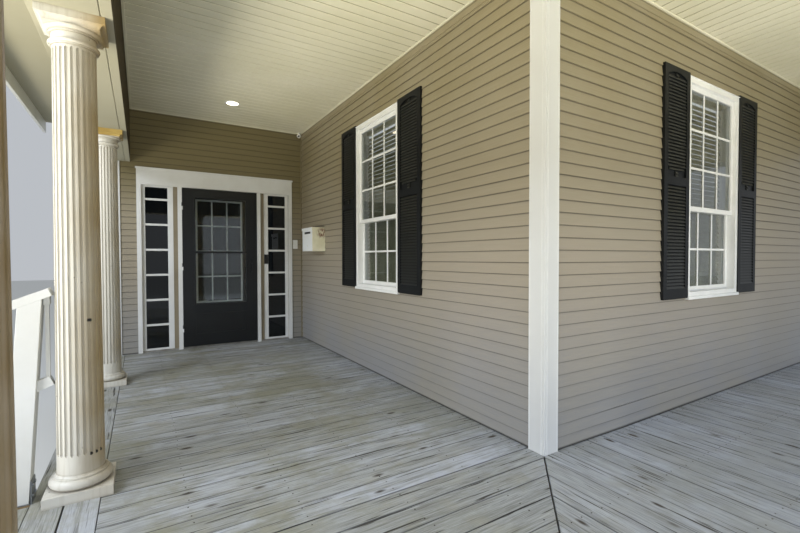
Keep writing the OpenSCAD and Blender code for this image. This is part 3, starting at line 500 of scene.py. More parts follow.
# %% [markdown]
# Moulded white ABS with a satin surface is used for the bell box, the lamp's trim and the
# camera, but the keypad beside the door is black. All four are one part of the frame, so the
# finish looks where it is: between two places along X it turns black.

# %% White and black plastic
white_abs, tree, bsdf = new_finish("white_abs", 0.38)
place = add(tree, "ShaderNodeTexCoord").outputs["Object"]
along_x = add(tree, "ShaderNodeSeparateXYZ", {0: place}).outputs["X"]
keypad_span = (-0.62, -0.42)
left_of = add(tree, "ShaderNodeMath", {0: along_x, 1: keypad_span[1]}, operation="LESS_THAN").outputs[0]
right_of = add(tree, "ShaderNodeMath", {0: along_x, 1: keypad_span[0]}, operation="GREATER_THAN").outputs[0]
on_keypad = add(tree, "ShaderNodeMath", {0: left_of, 1: right_of}, operation="MULTIPLY").outputs[0]
# Patches of 50 mm.
whites = coat(tree, "#F3F3F0", "#E4E3DE", pattern(tree, place, (20.0, 20.0, 20.0)))
tree.links.new(coat(tree, whites, "#17191B", on_keypad), bsdf.inputs["Base Color"])
print("made", white_abs.name, "that is black from", keypad_span[0], "to", keypad_span[1])

# %% [markdown]
# The corner boards are enamelled white, but the small strip in the inner corner, where the side
# wall meets the entry wall, has the siding's colour. The distance to that corner, measured on the
# level, tells which is which.

# %% Corner board enamel
corner_enamel, tree, bsdf = new_finish("corner_board_enamel", 0.45)
place = add(tree, "ShaderNodeTexCoord").outputs["Object"]
level = add(tree, "ShaderNodeVectorMath", {0: place, 1: (1.0, 1.0, 0.0)}, operation="MULTIPLY").outputs[0]
inner_corner, strip_reach = (0.0, side_len, 0.0), 0.06
away = add(tree, "ShaderNodeVectorMath", {0: level, 1: inner_corner}, operation="DISTANCE").outputs["Value"]
# Grime in patches of 330 mm.
whites = coat(tree, "#DCDDDB", "#D2D2CE", pattern(tree, place, (3.0, 3.0, 3.0), 6.0))
tree.links.new(coat(tree, whites, "#7E7459", away, 1.6 * strip_reach, strip_reach), bsdf.inputs["Base Color"])
print("made", corner_enamel.name)

# %% [markdown]
# The mailbox is steel sheet under baked enamel, which is hard and fairly glossy. Its front is
# still bluish white, its ends and lid have turned a greenish cream, and rust runs down from the
# upper corner beside the wall. The faces' own direction tells the front from the ends.

# %% Mailbox enamel
box_low, box_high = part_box("mailbox")
mailbox_enamel, tree, bsdf = new_finish("mailbox_enamel", 0.35)
place = add(tree, "ShaderNodeTexCoord").outputs["Object"]
facing = add(tree, "ShaderNodeNewGeometry").outputs["Normal"]
frontward = add(tree, "ShaderNodeVectorMath", {0: facing, 1: (-1.0, 0.0, 0.0)},
                operation="DOT_PRODUCT").outputs["Value"]
# Patches of 140 mm, and flakes of rust 22 mm wide and 70 mm long.
patches = pattern(tree, place, (7.0, 7.0, 7.0), 6.0)
flakes = pattern(tree, place, (45.0, 45.0, 14.0), 4.0)
enamel = coat(tree, "#F0ECD4", "#E0DCBE", patches, 0.35, 0.65)
enamel = coat(tree, enamel, "#F0F3F3", frontward, 0.5, 0.8)
rust_spot, rust_reach = (box_high.x - 0.045, box_low.y, box_high.z - 0.075), 0.03
away = add(tree, "ShaderNodeVectorMath", {0: place, 1: rust_spot}, operation="DISTANCE").outputs["Value"]
near_rust = add(tree, "ShaderNodeMapRange", {"Value": away, "From Min": 3 * rust_reach,
                                             "From Max": rust_reach}).outputs[0]
flaking = add(tree, "ShaderNodeMapRange", {"Value": flakes, "From Min": 0.42, "From Max": 0.55}).outputs[0]
rusty = add(tree, "ShaderNodeMath", {0: near_rust, 1: flaking}, operation="MULTIPLY").outputs[0]
tree.links.new(coat(tree, enamel, "#6B3A26", rusty), bsdf.inputs["Base Color"])
print("made", mailbox_enamel.name, "for a box", round(box_high.z - box_low.z, 3), "m high")

# %% [markdown]
# Float glass is clear in the windows, where blinds hang behind it. Behind the sidelights and the
# doors the hall is dark, so there the glass is given a deep tint: it lets little through and
# its reflections show. The tint changes with the place along Y, close to the entry wall.

# %% Glass
float_glass, tree, bsdf = new_finish("float_glass", 0.02, IOR=1.5, Transmission_Weight=1.0)
place = add(tree, "ShaderNodeTexCoord").outputs["Object"]
along_y = add(tree, "ShaderNodeSeparateXYZ", {0: place}).outputs["Y"]
at_entry = add(tree, "ShaderNodeMath", {0: along_y, 1: side_len + 0.01}, operation="GREATER_THAN").outputs[0]
# A film of dust in patches of 400 mm.
clear = coat(tree, "#F4F8F7", "#E9F0EE", pattern(tree, place, (2.5, 2.5, 2.5), 1.0))
tree.links.new(coat(tree, clear, "#111415", at_entry), bsdf.inputs["Base Color"])
print("made", float_glass.name, "tinted beyond", round(side_len + 0.01, 3))

# %% [markdown]
# The lamp's lens is a moulded opal acrylic that spreads the light of what is behind it, so it
# glows all over. An emission does that, and gives the warm spot in the ceiling.

# %% Lamp lens
opal_acrylic, tree, bsdf = new_finish("lamp_diffuser", 0.4, Emission_Strength=6.0)
place = add(tree, "ShaderNodeTexCoord").outputs["Object"]
# Faint clouds of 33 mm.
glow = coat(tree, "#FFF3DC", "#FFEFD0", pattern(tree, place, (30.0, 30.0, 30.0)))
tree.links.new(glow, bsdf.inputs["Base Color"])
tree.links.new(glow, bsdf.inputs["Emission Color"])
print("made", opal_acrylic.name)

# %% [markdown]
# Asphalt shingles are felt with stone granules pressed into them, about 2 mm across, which makes
# them as matt as sandpaper. The granules are drawn at 5 mm here so that they show, and every tab
# has its own tone.

# %% Shingle granules
asphalt_shingle, tree, bsdf = new_finish("asphalt_shingle", 0.9)
place = add(tree, "ShaderNodeTexCoord").outputs["Object"]
tone = add(tree, "ShaderNodeAttribute", attribute_name="tone").outputs["Fac"]
granules = add(tree, "ShaderNodeTexVoronoi", {"Vector": place, "Scale": 200.0})
tab = coat(tree, "#4A4743", "#6C675F", tone)
specks = add(tree, "ShaderNodeMix", {0: 0.35, 6: tab, 7: granules.outputs["Color"]},
             data_type="RGBA", blend_type="SOFT_LIGHT")
tree.links.new(specks.outputs[2], bsdf.inputs["Base Color"])
raised = add(tree, "ShaderNodeBump", {"Height": granules.outputs["Distance"], "Strength": 0.5,
                                      "Distance": 0.001})
tree.links.new(raised.outputs[0], bsdf.inputs["Normal"])
print("made", len(bpy.data.materials), "finishes")

# %% [markdown]
# Every node of the frame takes one of these finishes. The list is written from the finish's
# side, because a finish serves several nodes and a node has only one.

# %% Dress the frame
dress = {
    wall_plaster: ["side_wall", "front_wall", "entry_wall_sides", "entry_wall_over"],
    cast_concrete: ["foundation", "piers"],
    framing_pine: ["joists", "cross_beams", "stair_stringers"],
    weathered_pine: ["deck_boards", "deck_border", "stair_treads"],
    corner_enamel: ["corner_boards"],
    trim_enamel: ["fascias", "roof_ends", "entry_head", "entry_casings", "sidelights",
                  "stair_newels", "stair_rails"],
    column_enamel: ["column_bases", "column_shafts", "column_capitals"],
    beam_enamel: ["beam_side", "beam_front", "soffits"],
    end_enamel: ["beam_end"],
    groove_shade_vinyl: ["ceilings"],
    asphalt_shingle: ["roof_side", "roof_front"],
    window_vinyl: ["window_frames", "window_sashes"],
    float_glass: ["window_glass", "storm_door_glass", "entry_door_glass"],
    shutter_plastic: ["shutters"],
    door_enamel: ["storm_door", "entry_door"],
    black_nylon: ["storm_door_handle"],
    taupe_enamel: ["entry_posts"],
    galvanised_steel: ["newel_shoes"],
    mill_aluminium: ["entry_threshold"],
    mailbox_enamel: ["mailbox", "mailbox_lid"],
    white_abs: ["wall_fittings"],
}
for finish, names in dress.items():
    for name in names:
        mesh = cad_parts[name].data
        mesh.materials.clear()
        mesh.materials.append(finish)
undressed = [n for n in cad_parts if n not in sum(dress.values(), [])]
print("dressed", sum(len(n) for n in dress.values()), "nodes, left", undressed)

# %% [markdown]
# Real trim has no razor edges: a plane or a coat of paint rounds them by a millimetre or two, and
# they catch the light. A bevel modifier does the same for the nodes with sharp edges. The frame's
# meshes are loose triangles, so the corners are welded first.

# %% Soft edges
arris = math.radians(40)


def soften(piece, width):
    """Rounds the sharp edges of a piece, after it has welded loose corners."""
    weld = piece.modifiers.new("weld", "WELD")
    weld.merge_threshold = 0.0001
    bevel = piece.modifiers.new("soft_edges", "BEVEL")
    bevel.width, bevel.segments, bevel.limit_method = width, 2, "ANGLE"
    bevel.angle_limit = arris
    bevel.use_clamp_overlap = True


sharp_nodes = ("corner_boards", "entry_casings", "window_frames", "window_sashes", "shutters",
               "fascias", "stair_newels", "beam_side", "beam_front", "beam_end", "sidelights")
for name in sharp_nodes:
    soften(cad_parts[name], 0.002)
soften(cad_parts["storm_door"], 0.004)
print("softened", len(sharp_nodes) + 1, "nodes")

# %% [markdown]
# Most of what follows is made of boards. A board starts as a unit cube, which is scaled and
# moved between two corners. Where a plane crosses it, bisect_plane cuts it and the open cut is
# filled, which is how a saw would do it. Parts are gathered in dicts and not in sets, because
# a set's order changes from run to run, and the mesh would change with it.

# %% Boxes and cuts
def block(shape, low, high):
    """A box between two corners."""
    low, high = Vector(low), Vector(high)
    verts = bmesh.ops.create_cube(shape, size=1)["verts"]
    bmesh.ops.scale(shape, vec=high - low, verts=verts)
    bmesh.ops.translate(shape, vec=(low + high) / 2, verts=verts)
    return verts


def faces_of(verts):
    """The faces that meet at some corners."""
    return list(dict.fromkeys(face for v in verts for face in v.link_faces))


def cut(shape, faces, point, normal):
    """Cuts away what lies beyond a plane and closes the cut. Returns the faces that are left."""
    parts = list(dict.fromkeys(part for f in faces for part in (*f.verts, *f.edges))) + faces
    made = bmesh.ops.bisect_plane(shape, geom=parts, plane_co=point, plane_no=normal, clear_outer=True)
    rim = [e for e in made["geom_cut"] if isinstance(e, bmesh.types.BMEdge)]
    left = [f for f in made["geom"] if isinstance(f, bmesh.types.BMFace) and f.is_valid]
    if rim:
        left += bmesh.ops.contextual_create(shape, geom=rim)["faces"]
    return left


sample = bmesh.new()
sample_faces = cut(sample, faces_of(block(sample, (0, 0, 0), (1, 1, 1))), (0.5, 0, 0), (1, 0, 0))
print("half a block has", len(sample_faces), "faces")
sample.free()

# %% [markdown]
# A grain that runs along each board can't come from the place in the scene, because the boards
# run both ways and all of them would be cut from one trunk. So a board carries a UV map in
# metres, begun at a random place, a map of the distances to its long edges, and a random tone.
# One seeded generator makes every draw, so that each run gives the same deck.

# %% Maps and tones of a board
draw = random.Random(11)
trunk_reach = 40


def board_shape():
    """An empty shape whose boards carry a grain map and a tone."""
    shape = bmesh.new()
    shape.loops.layers.uv.new("grain")
    shape.loops.layers.uv.new("edges")
    shape.faces.layers.float.new("tone")
    return shape


def mark(shape, faces, along):
    """Gives one board its grain and edge maps, with the grain along axis 0 or 1, and its tone."""
    maps, tone = shape.loops.layers.uv, shape.faces.layers.float["tone"]
    start, side, shade = draw.uniform(0, trunk_reach), draw.uniform(0, trunk_reach), draw.random()
    reach = [v.co[1 - along] for face in faces for v in face.verts]
    for face in faces:
        face[tone] = shade
        for loop in face.loops:
            co = loop.vert.co
            loop[maps["grain"]].uv = (co[along] + start, co[1 - along] + co.z + side)
            loop[maps["edges"]].uv = (co[1 - along] - min(reach), max(reach) - co[1 - along])


print("boards are cut from", trunk_reach, "m of grain each way")

# %% [markdown]
# Both wings of the porch are alike, so most shapes are drawn once, for the side wing, and turned
# over the diagonal for the front wing. Changing X and Y is a mirror, which turns a shape inside
# out, so its faces are reversed at once.

# %% Over the diagonal
OVER_DIAGONAL = Matrix(((0, 1, 0, 0), (1, 0, 0, 0), (0, 0, 1, 0), (0, 0, 0, 1)))


def over_diagonal(shape, parts=None):
    """Turns a shape drawn for the side wing into one for the front wing."""
    verts = shape.verts[:] if parts is None else [p for p in parts if isinstance(p, bmesh.types.BMVert)]
    faces = shape.faces[:] if parts is None else [p for p in parts if isinstance(p, bmesh.types.BMFace)]
    bmesh.ops.transform(shape, matrix=OVER_DIAGONAL, verts=verts)
    bmesh.ops.reverse_faces(shape, faces=faces)


def on_both_wings(shape):
    """Adds a copy of the whole shape for the front wing."""
    parts = bmesh.ops.duplicate(shape, geom=shape.verts[:] + shape.edges[:] + shape.faces[:])["geom"]
    over_diagonal(shape, parts)


print("a point 1 m along the side wall goes to", (OVER_DIAGONAL @ Vector((0, 1, 0)))[:])

# %% [markdown]
# A finished piece is a mesh object at the origin, with its place in its mesh, as the frame's own
# nodes are. It takes its finish, may get a small bevel, and rides on a body of the frame, which
# is the porch itself unless it belongs to something that swings.

# %% Finished pieces
def finished(name, shape, finish, body="porch", rounded=0.0):
    """Makes the shape a named piece with its finish, riding on a body."""
    mesh = bpy.data.meshes.new(name)
    shape.to_mesh(mesh)
    shape.free()
    mesh.materials.append(finish)
    piece = bpy.data.objects.new(name, mesh)
    bpy.context.scene.collection.objects.link(piece)
    if rounded:
        bevel = piece.modifiers.new("soft_edges", "BEVEL")
        bevel.width, bevel.segments, bevel.limit_method = rounded, 1, "ANGLE"
        bevel.angle_limit = arris
    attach(piece, body)
    print(name, len(mesh.polygons), "faces")
    return piece


# %% [markdown]
# Deck boards run at right angles to the walls, 143 mm from one to the next. They have shrunk
# unevenly as they dried, so their joints are 1.5 to 5.5 mm wide. Both wings meet on a mitre at
# the house corner. Each board is a box. Where the mitre crosses it, it is cut by the mitre's
# plane, which gives true ends, also on the one board that is only clipped.

# %% Deck boards
board_pitch, board_gap, board_round = 0.143, 0.004, 0.0025
joint_widths, settling = (0.0015, 0.0055), 0.0012
mitre_gap, mitre_normal = 0.006, (1, -1, 0)
first_joint = 0.117
narrowest_board = 0.01


def deck_planks(length):
    """Boards of the side wing, from the wall to the border boards."""
    shape = board_shape()
    joint = first_joint - board_pitch * math.ceil((first_joint + border_in) / board_pitch)
    while joint < length:
        shrunk = draw.uniform(*joint_widths)
        low_y, high_y = max(joint, -border_in), min(joint + board_pitch - shrunk, length)
        if high_y - low_y > narrowest_board:
            lift = draw.uniform(-settling, 0.0)
            verts = block(shape, (-border_in + board_gap / 2, low_y, deck_top - board_t),
                          (0, high_y, deck_top + lift))
            faces = faces_of(verts)
            if low_y < 0:
                faces = cut(shape, faces, (-mitre_gap, 0, 0), mitre_normal)
            mark(shape, faces, 0)
        joint += board_pitch
    return shape


shape = deck_planks(side_len)
planks_side = finished("deck_planks_side", shape, weathered_pine, rounded=board_round)
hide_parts("deck_boards")
shape = deck_planks(front_deck_end)
over_diagonal(shape)
planks_front = finished("deck_planks_front", shape, weathered_pine, rounded=board_round)
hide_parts("deck_boards")

# %% [markdown]
# Two border boards run along the open edges under the columns. They are long boards that butt
# end to end, and they meet on the same mitre at the outer corner.

# %% Border boards
inner_border_w, border_gap = 0.142, 0.005
butt_joint, butt_step, butt_gap = 1.62, 2.4, 0.003


def border_planks(length):
    """The two border boards of the side wing."""
    shape = board_shape()
    split_at = border_in + inner_border_w
    for near, far, joint in ((border_in, split_at, butt_joint),
                             (split_at + border_gap, deck_reach, butt_joint - butt_step)):
        for start, end in ((-deck_reach, joint), (joint + butt_gap, length)):
            verts = block(shape, (-far, start, deck_top - board_t), (-near, end, deck_top))
            faces = cut(shape, faces_of(verts), (-mitre_gap, 0, 0), mitre_normal)
            mark(shape, faces, 1)
    return shape


shape = border_planks(side_len)
border_side = finished("border_planks_side", shape, weathered_pine, rounded=board_round)
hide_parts("deck_border")
shape = border_planks(front_deck_end)
over_diagonal(shape)
border_front = finished("border_planks_front", shape, weathered_pine, rounded=board_round)
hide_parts("deck_border")

# %% [markdown]
# Two screws hold each board to each joist, and none is driven quite where the next one is. A
# screw head is a disc of six sides, hardly proud of the wood, because there are hundreds of them.

# %% Deck screws
joist_count, joist_pitch, first_joist = 6, 0.45, 0.057
screw_r, screw_h, screw_sink, screw_inset = 0.0037, 0.003, 0.0012, 0.03
off_across, off_along, mitre_margin, end_margin = 0.004, 0.006, 0.02, 0.05


def screw_heads(length):
    """Screw heads in the boards of the side wing."""
    shape = bmesh.new()
    joint = first_joint - board_pitch * math.ceil((first_joint + border_in) / board_pitch)
    while joint < length - end_margin:
        for row in range(joist_count):
            out = first_joist + row * joist_pitch
            for inset in (screw_inset, board_pitch - board_gap - screw_inset):
                y = joint + inset + draw.uniform(-off_across, off_across)
                x = -out + draw.uniform(-off_along, off_along)
                if x < min(0, y) - mitre_margin and out < border_in and y > -border_in:
                    place = Matrix.Translation((x, y, deck_top - screw_sink))
                    bmesh.ops.create_cone(shape, cap_ends=True, segments=6, radius1=screw_r,
                                          radius2=screw_r, depth=screw_h, matrix=place)
        joint += board_pitch
    return shape


shape = screw_heads(side_len)
finished("deck_screws_side", shape, rusty_steel)
shape = screw_heads(front_deck_end)
over_diagonal(shape)
finished("deck_screws_front", shape, rusty_steel)

# %% [markdown]
# Each tread of the stair is made of three boards. Where the treads lie follows from their box in
# the frame, the count of risers and the nosing by which each tread overhangs the next.

# %% Stair treads
tread_low, tread_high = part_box("stair_treads")
riser_count, tread_t, nosing, boards_a_tread, tread_round = 3, 0.038, 0.025, 3, 0.003
tread_run = (tread_high.x - tread_low.x - nosing) / riser_count
step_rise = (tread_high.z - tread_low.z - tread_t) / (riser_count - 1)
depth = tread_run + nosing
shape = board_shape()
for step in range(riser_count):
    top = tread_high.z - step * step_rise
    near = tread_high.x - step * tread_run
    for i in range(boards_a_tread):
        x = near - depth * i / boards_a_tread
        verts = block(shape, (x - depth / boards_a_tread + board_gap, tread_low.y, top - tread_t),
                      (x, tread_high.y, top))
        mark(shape, faces_of(verts), 1)
tread_planks = finished("tread_planks", shape, weathered_pine, rounded=tread_round)
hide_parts("stair_treads")

# %% [markdown]
# Lapped siding shows one course every 76 mm. A course is a wedge: thick at its lower edge,
# which throws the dark line, and thin at its top. A box becomes one when the upper corners of its
# outer face are drawn in. The same wedge, made smaller, serves as the louvre of a shutter.

# %% A lapped course
butt_t, thin_t = 0.0115, 0.003


def lap(shape, start, end, foot, top, foot_t, top_t, lift=0.0):
    """A wedge on the plane X = 0 from start to end along Y, thicker at its foot."""
    verts = block(shape, (-foot_t - lift, start, foot), (0, end, top))
    for v in verts:
        if v.co.z > (foot + top) / 2 and v.co.x < -top_t:
            v.co.x = -top_t - lift
    return verts


print("a course loses", round((butt_t - thin_t) * 1000, 1), "mm from foot to top")

# %% [markdown]
# Courses stop at the trim round windows and doors, and where a hole begins or ends inside a
# course, the course is split at that height. A siding panel is two courses high and 3 to 4 m long,
# so every pair of courses has its seam elsewhere, where one panel's end lies over the next one's.

# %% Courses round the holes
shortest_piece, seam_lift = 0.003, 0.0013


def free_spans(start, end, holes):
    """What is left of a stretch when the stretches of the holes are taken out."""
    spans = [(start, end)]
    for low, high in holes:
        spans = [part for a, b in spans for part in ((a, min(b, low)), (max(a, high), b))
                 if part[1] - part[0] > shortest_piece]
    return spans


def siding(start, end, foot, top, holes, seams):
    """Courses between two places along a wall. A hole is (start, end, foot, top)."""
    shape = bmesh.new()
    slope = (butt_t - thin_t) / course
    for k in range(math.ceil((top - foot) / course)):
        low, high = foot + k * course, min(foot + (k + 1) * course, top)
        seam = seams[(k // 2) % len(seams)]
        levels = sorted({low, high} | {z for h in holes for z in h[2:] if low < z < high})
        for z1, z2 in zip(levels, levels[1:]):
            inside = [h[:2] for h in holes if h[2] < (z1 + z2) / 2 < h[3]]
            t1, t2 = butt_t - (z1 - low) * slope, butt_t - (z2 - low) * slope
            for a, b in free_spans(start, end, inside):
                for c, d, lift in ((a, min(b, seam), seam_lift), (max(a, seam), b, 0.0)):
                    if d - c > shortest_piece:
                        lap(shape, c, d, z1, z2, t1, t2, lift)
    return shape


print("a whole wall takes", math.ceil((wall_top - first_lap) / course), "courses")

# %% [markdown]
# The side wall and the front wall have the same window at the same distance from the corner. On
# the front wall the lowest panel beside the corner has come loose at its seam: it stands off the
# wall and hangs a little, more and more towards its free end.

# %% Siding on both wings
corner_w, corner_strip = 0.1, 0.022
window_low, window_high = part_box("window_frames")
window_w, window_foot, window_top = 0.89, window_low.z, window_high.z
window_mid = window_high.y - window_w / 2
window_hole = (window_mid - window_w / 2, window_mid + window_w / 2, window_foot, window_top)
shape = siding(corner_w, side_len - corner_strip, first_lap, wall_top, [window_hole], [2.9, 3.7, 1.2])
finished("siding_side", shape, siding_vinyl)

loose_end = 0.83
loose_top = first_lap + 2.5 * course
slip = Vector((-0.009, 0, -0.0038))
shape = siding(corner_w, front_len, first_lap, wall_top, [window_hole], [loose_end, 3.4, 2.75])
loose_panel = [v for v in shape.verts if v.co.z < loose_top and v.co.y < loose_end + 0.01]
for v in loose_panel:
    v.co += slip * (v.co.y - corner_w) / (loose_end - corner_w)
over_diagonal(shape)
finished("siding_front", shape, siding_vinyl)

# %% [markdown]
# The entry wall faces along the side wing. Its courses are drawn on the side wall's plane too, and
# then turned by a quarter and moved to its place. The door, both sidelights and their casings
# are one hole, because nothing of the siding shows between them.

# %% Siding on the entry wall
casing_low, casing_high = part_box("entry_casings")
head_cap = 0.01
TO_ENTRY_WALL = Matrix.Translation((0, side_len, 0)) @ Matrix.Rotation(math.pi / 2, 4, "Z")
entry_hole = (-casing_high.x + head_cap, -casing_low.x - head_cap, 0, casing_high.z)
shape = siding(corner_strip, entry_wall_end - corner_w, first_lap, wall_top, [entry_hole], [1.9, 2.1])
bmesh.ops.transform(shape, matrix=TO_ENTRY_WALL, verts=shape.verts[:])
finished("siding_entry", shape, siding_vinyl)

# %% [markdown]
# A flat frieze strip in the siding's colour closes the wall under the ceiling, with a thin
# J-shaped strip over it that holds the ends of the ceiling panels. The same strip runs along the
# beams and over the entry wall.

# %% Strips along the ceiling
strip_round, strip_foot, strip_top = 0.002, ceiling_z - 0.014, ceiling_z - 0.002
frieze_w, frieze_t, frieze_top = 0.055, 0.016, ceiling_z - 0.018
strip_reach, beam_strip_w = 0.026, 0.02
shape = bmesh.new()
block(shape, (-frieze_t, corner_w, frieze_top - frieze_w), (0, side_len, frieze_top))
on_both_wings(shape)
finished("frieze_strips", shape, siding_vinyl, rounded=strip_round)
shape = bmesh.new()
block(shape, (-strip_reach, corner_w, strip_foot), (0, side_len, strip_top))
block(shape, (-beam_in, -beam_in, strip_foot), (-beam_in + beam_strip_w, side_len, strip_top))
on_both_wings(shape)
block(shape, (-beam_in, side_len - strip_reach, strip_foot), (0, side_len, strip_top))
finished("ceiling_edge_strips", shape, ceiling_vinyl, rounded=strip_round)

# %% [markdown]
# The corner post is a folded profile with two legs. A raised lip runs along both edges of each
# leg, so that the post reads as a made profile and not as a plank.

# %% Lips of the corner post
lip_w, lip_t, lip_seat, lip_round = 0.009, 0.0025, 0.001, 0.001
trim_proud = -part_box("corner_boards")[0].x - entry_wall_end
shape = bmesh.new()
for start in (0.0, corner_w - lip_w):
    block(shape, (-trim_proud - lip_t, start, deck_top), (-trim_proud + lip_seat, start + lip_w, ceiling_z))
on_both_wings(shape)
finished("corner_post_lips", shape, trim_enamel, rounded=lip_round)

# %% [markdown]
# The ceiling is closed with vinyl panels whose ribs run at right angles to the walls, 102 mm
# apart. Each rib is a thin strip under the frame's ceiling, with a groove to its neighbour. At
# the house corner the strips of both wings are cut on the diagonal, like the deck.

# %% Ceiling ribs
rib_pitch, rib_groove, rib_t, rib_round = 0.1016, 0.011, 0.007, 0.003
rib_seat, last_rib, diagonal_gap = 0.0005, 0.01, 0.001


def ceiling_ribs(length):
    """Ribs of the side wing's ceiling."""
    shape = bmesh.new()
    y = -beam_in
    while y < length - last_rib:
        verts = block(shape, (-beam_in, y, ceiling_z - rib_t),
                      (0, min(y + rib_pitch - rib_groove, length), ceiling_z - rib_seat))
        if y < 0:
            cut(shape, faces_of(verts), (-diagonal_gap, 0, 0), mitre_normal)
        y += rib_pitch
    return shape


shape = ceiling_ribs(side_len)
finished("ceiling_ribs_side", shape, ceiling_vinyl, rounded=rib_round)
shape = ceiling_ribs(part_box("ceilings")[1].x)
over_diagonal(shape)
finished("ceiling_ribs_front", shape, ceiling_vinyl, rounded=rib_round)

# %% [markdown]
# The windows are vinyl double-hung sashes with flat bars laid over the glass: three panes wide,
# three high above and two high below. The upper sash lies further out than the lower one, and
# its bars with it. Upright bars run through, and level ones lie 1 mm prouder over them.

# %% Window bars
frame_w, sash_w, sash_t, sash_face = 0.042, 0.038, 0.034, 0.004
bar_w, bar_t, bar_over, bar_round = 0.018, 0.007, 0.001, 0.0015
glass_half_t, sash_gap, lower_share = 0.003, 0.001, 0.41
meeting = window_foot + lower_share * (window_top - window_foot)
pane_half = window_w / 2 - frame_w - sash_w
upper_glass = sash_face + sash_t / 2 - glass_half_t
lower_glass = upper_glass + sash_t + sash_gap


def bars(shape, x, half, foot, top, columns, rows):
    """Bars that part an opening in the plane of X into columns and rows, proud towards -X."""
    for i in range(1, columns):
        y = window_mid - half + 2 * half * i / columns
        block(shape, (x - bar_t, y - bar_w / 2, foot), (x, y + bar_w / 2, top))
    for i in range(1, rows):
        z = foot + (top - foot) * i / rows
        block(shape, (x - bar_t - bar_over, window_mid - half, z - bar_w / 2),
              (x, window_mid + half, z + bar_w / 2))


shape = bmesh.new()
bars(shape, upper_glass, pane_half, meeting + sash_w / 2, window_top - frame_w - sash_w, 3, 3)
bars(shape, lower_glass, pane_half, window_foot + frame_w + sash_w, meeting - sash_w / 2, 3, 2)
on_both_wings(shape)
finished("window_bars", shape, window_vinyl, rounded=bar_round)

# %% [markdown]
# Behind the glass hang blinds that are nearly closed, with their slats' outer edges down. A slat
# is a thin flat box, turned about its own middle and then moved to its height, between a head
# rail and a foot rail. Three pairs of cords hold them, one of each pair before the slats and one
# behind. At this scale the slats can do without the curve that real ones have.

# %% Blinds
slat_w, slat_pitch, slat_t, slat_tilt = 0.05, 0.042, 0.0028, math.radians(-64)
first_slat, last_slat = window_foot + frame_w + 0.05, window_top - frame_w - 0.055
blind_x, blind_half = 0.116, window_w / 2 - frame_w - 0.004
rail_half_w = 0.02
foot_rail_span = (window_foot + frame_w + 0.006, window_foot + frame_w + 0.022)
head_rail_span = (window_top - frame_w - 0.042, window_top - frame_w - 0.002)
cord_places, cord_t, cord_inset = (-0.7, 0.0, 0.7), 0.0012, 0.01
cord_before, cord_behind = 0.021, 0.0195
shape = bmesh.new()
z = first_slat
while z < last_slat:
    verts = block(shape, (-slat_w / 2, -blind_half, -slat_t / 2), (slat_w / 2, blind_half, slat_t / 2))
    bmesh.ops.rotate(shape, verts=verts, cent=(0, 0, 0), matrix=Matrix.Rotation(slat_tilt, 3, "Y"))
    bmesh.ops.translate(shape, verts=verts, vec=(blind_x, window_mid, z))
    z += slat_pitch
for foot, top in (foot_rail_span, head_rail_span):
    block(shape, (blind_x - rail_half_w, window_mid - blind_half, foot),
          (blind_x + rail_half_w, window_mid + blind_half, top))
for share in cord_places:
    y = window_mid + share * blind_half
    for x in (blind_x - cord_before, blind_x + cord_behind):
        block(shape, (x, y - cord_t, window_foot + frame_w + cord_inset),
              (x + cord_t, y + cord_t, window_top - frame_w - cord_inset))
on_both_wings(shape)
finished("window_blinds", shape, blind_enamel)

# %% [markdown]
# The sill of each window has a thin sloping nose, and a drip cap lies over its head. Both shed
# water, so the upper corners of their outer edges drop by 4 mm.

# %% Sills and caps
ear, fall, wall_gap, sill_round = 0.004, 0.004, 0.002, 0.002
window_proud = -window_low.x
sill = (window_foot - 0.016, window_foot + 0.012, 0.016)
drip_cap = (window_top - 0.002, window_top + 0.008, 0.008)
shape = bmesh.new()
for foot, top, out in (sill, drip_cap):
    verts = block(shape, (-window_proud - out, window_mid - window_w / 2 - ear, foot),
                  (-wall_gap, window_mid + window_w / 2 + ear, top))
    for v in verts:
        if v.co.z > (foot + top) / 2 and v.co.x < -window_proud:
            v.co.z -= fall
on_both_wings(shape)
finished("window_sills", shape, window_vinyl, rounded=sill_round)

# %% [markdown]
# The shutters are moulded plastic with fixed louvres in two panels. The frame already has the
# stiles, the rails and the low arch over the upper panel. A louvre is the siding's wedge at a
# smaller size. Under the arch each louvre is as long as the arch lets it be, which its circle says.

# %% Shutter louvres
shutter_low, shutter_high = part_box("shutters")
shutter_w, shutter_t, stile_w = 0.37, -shutter_low.x, 0.05
shutter_foot, shutter_top = shutter_low.z, shutter_high.z
foot_rail, mid_rail, mid_rail_up, arch_top, arch_rise = 0.08, 0.065, 0.02, 0.042, 0.026
louvre_pitch, louvre_t, louvre_thin, louvre_round = 0.0255, 0.0115, 0.0003, 0.001
panel_w = shutter_w - 2 * stile_w
panel_depth = 0.012
panel_face = -shutter_t + panel_depth
arch_r = (panel_w ** 2 / 4 + arch_rise ** 2) / (2 * arch_rise)
arch_centre = shutter_top - arch_top - arch_r
shortest_half = 0.02
middle = (shutter_foot + shutter_top) / 2 + mid_rail_up
lower_panel = (shutter_foot + foot_rail, middle - mid_rail / 2)
upper_panel = (middle + mid_rail / 2, shutter_top - arch_top)
beside_window = (window_mid - window_w / 2 - shutter_w / 2, window_mid + window_w / 2 + shutter_w / 2)
shape = bmesh.new()
rise = shape.verts.layers.float.new("rise")
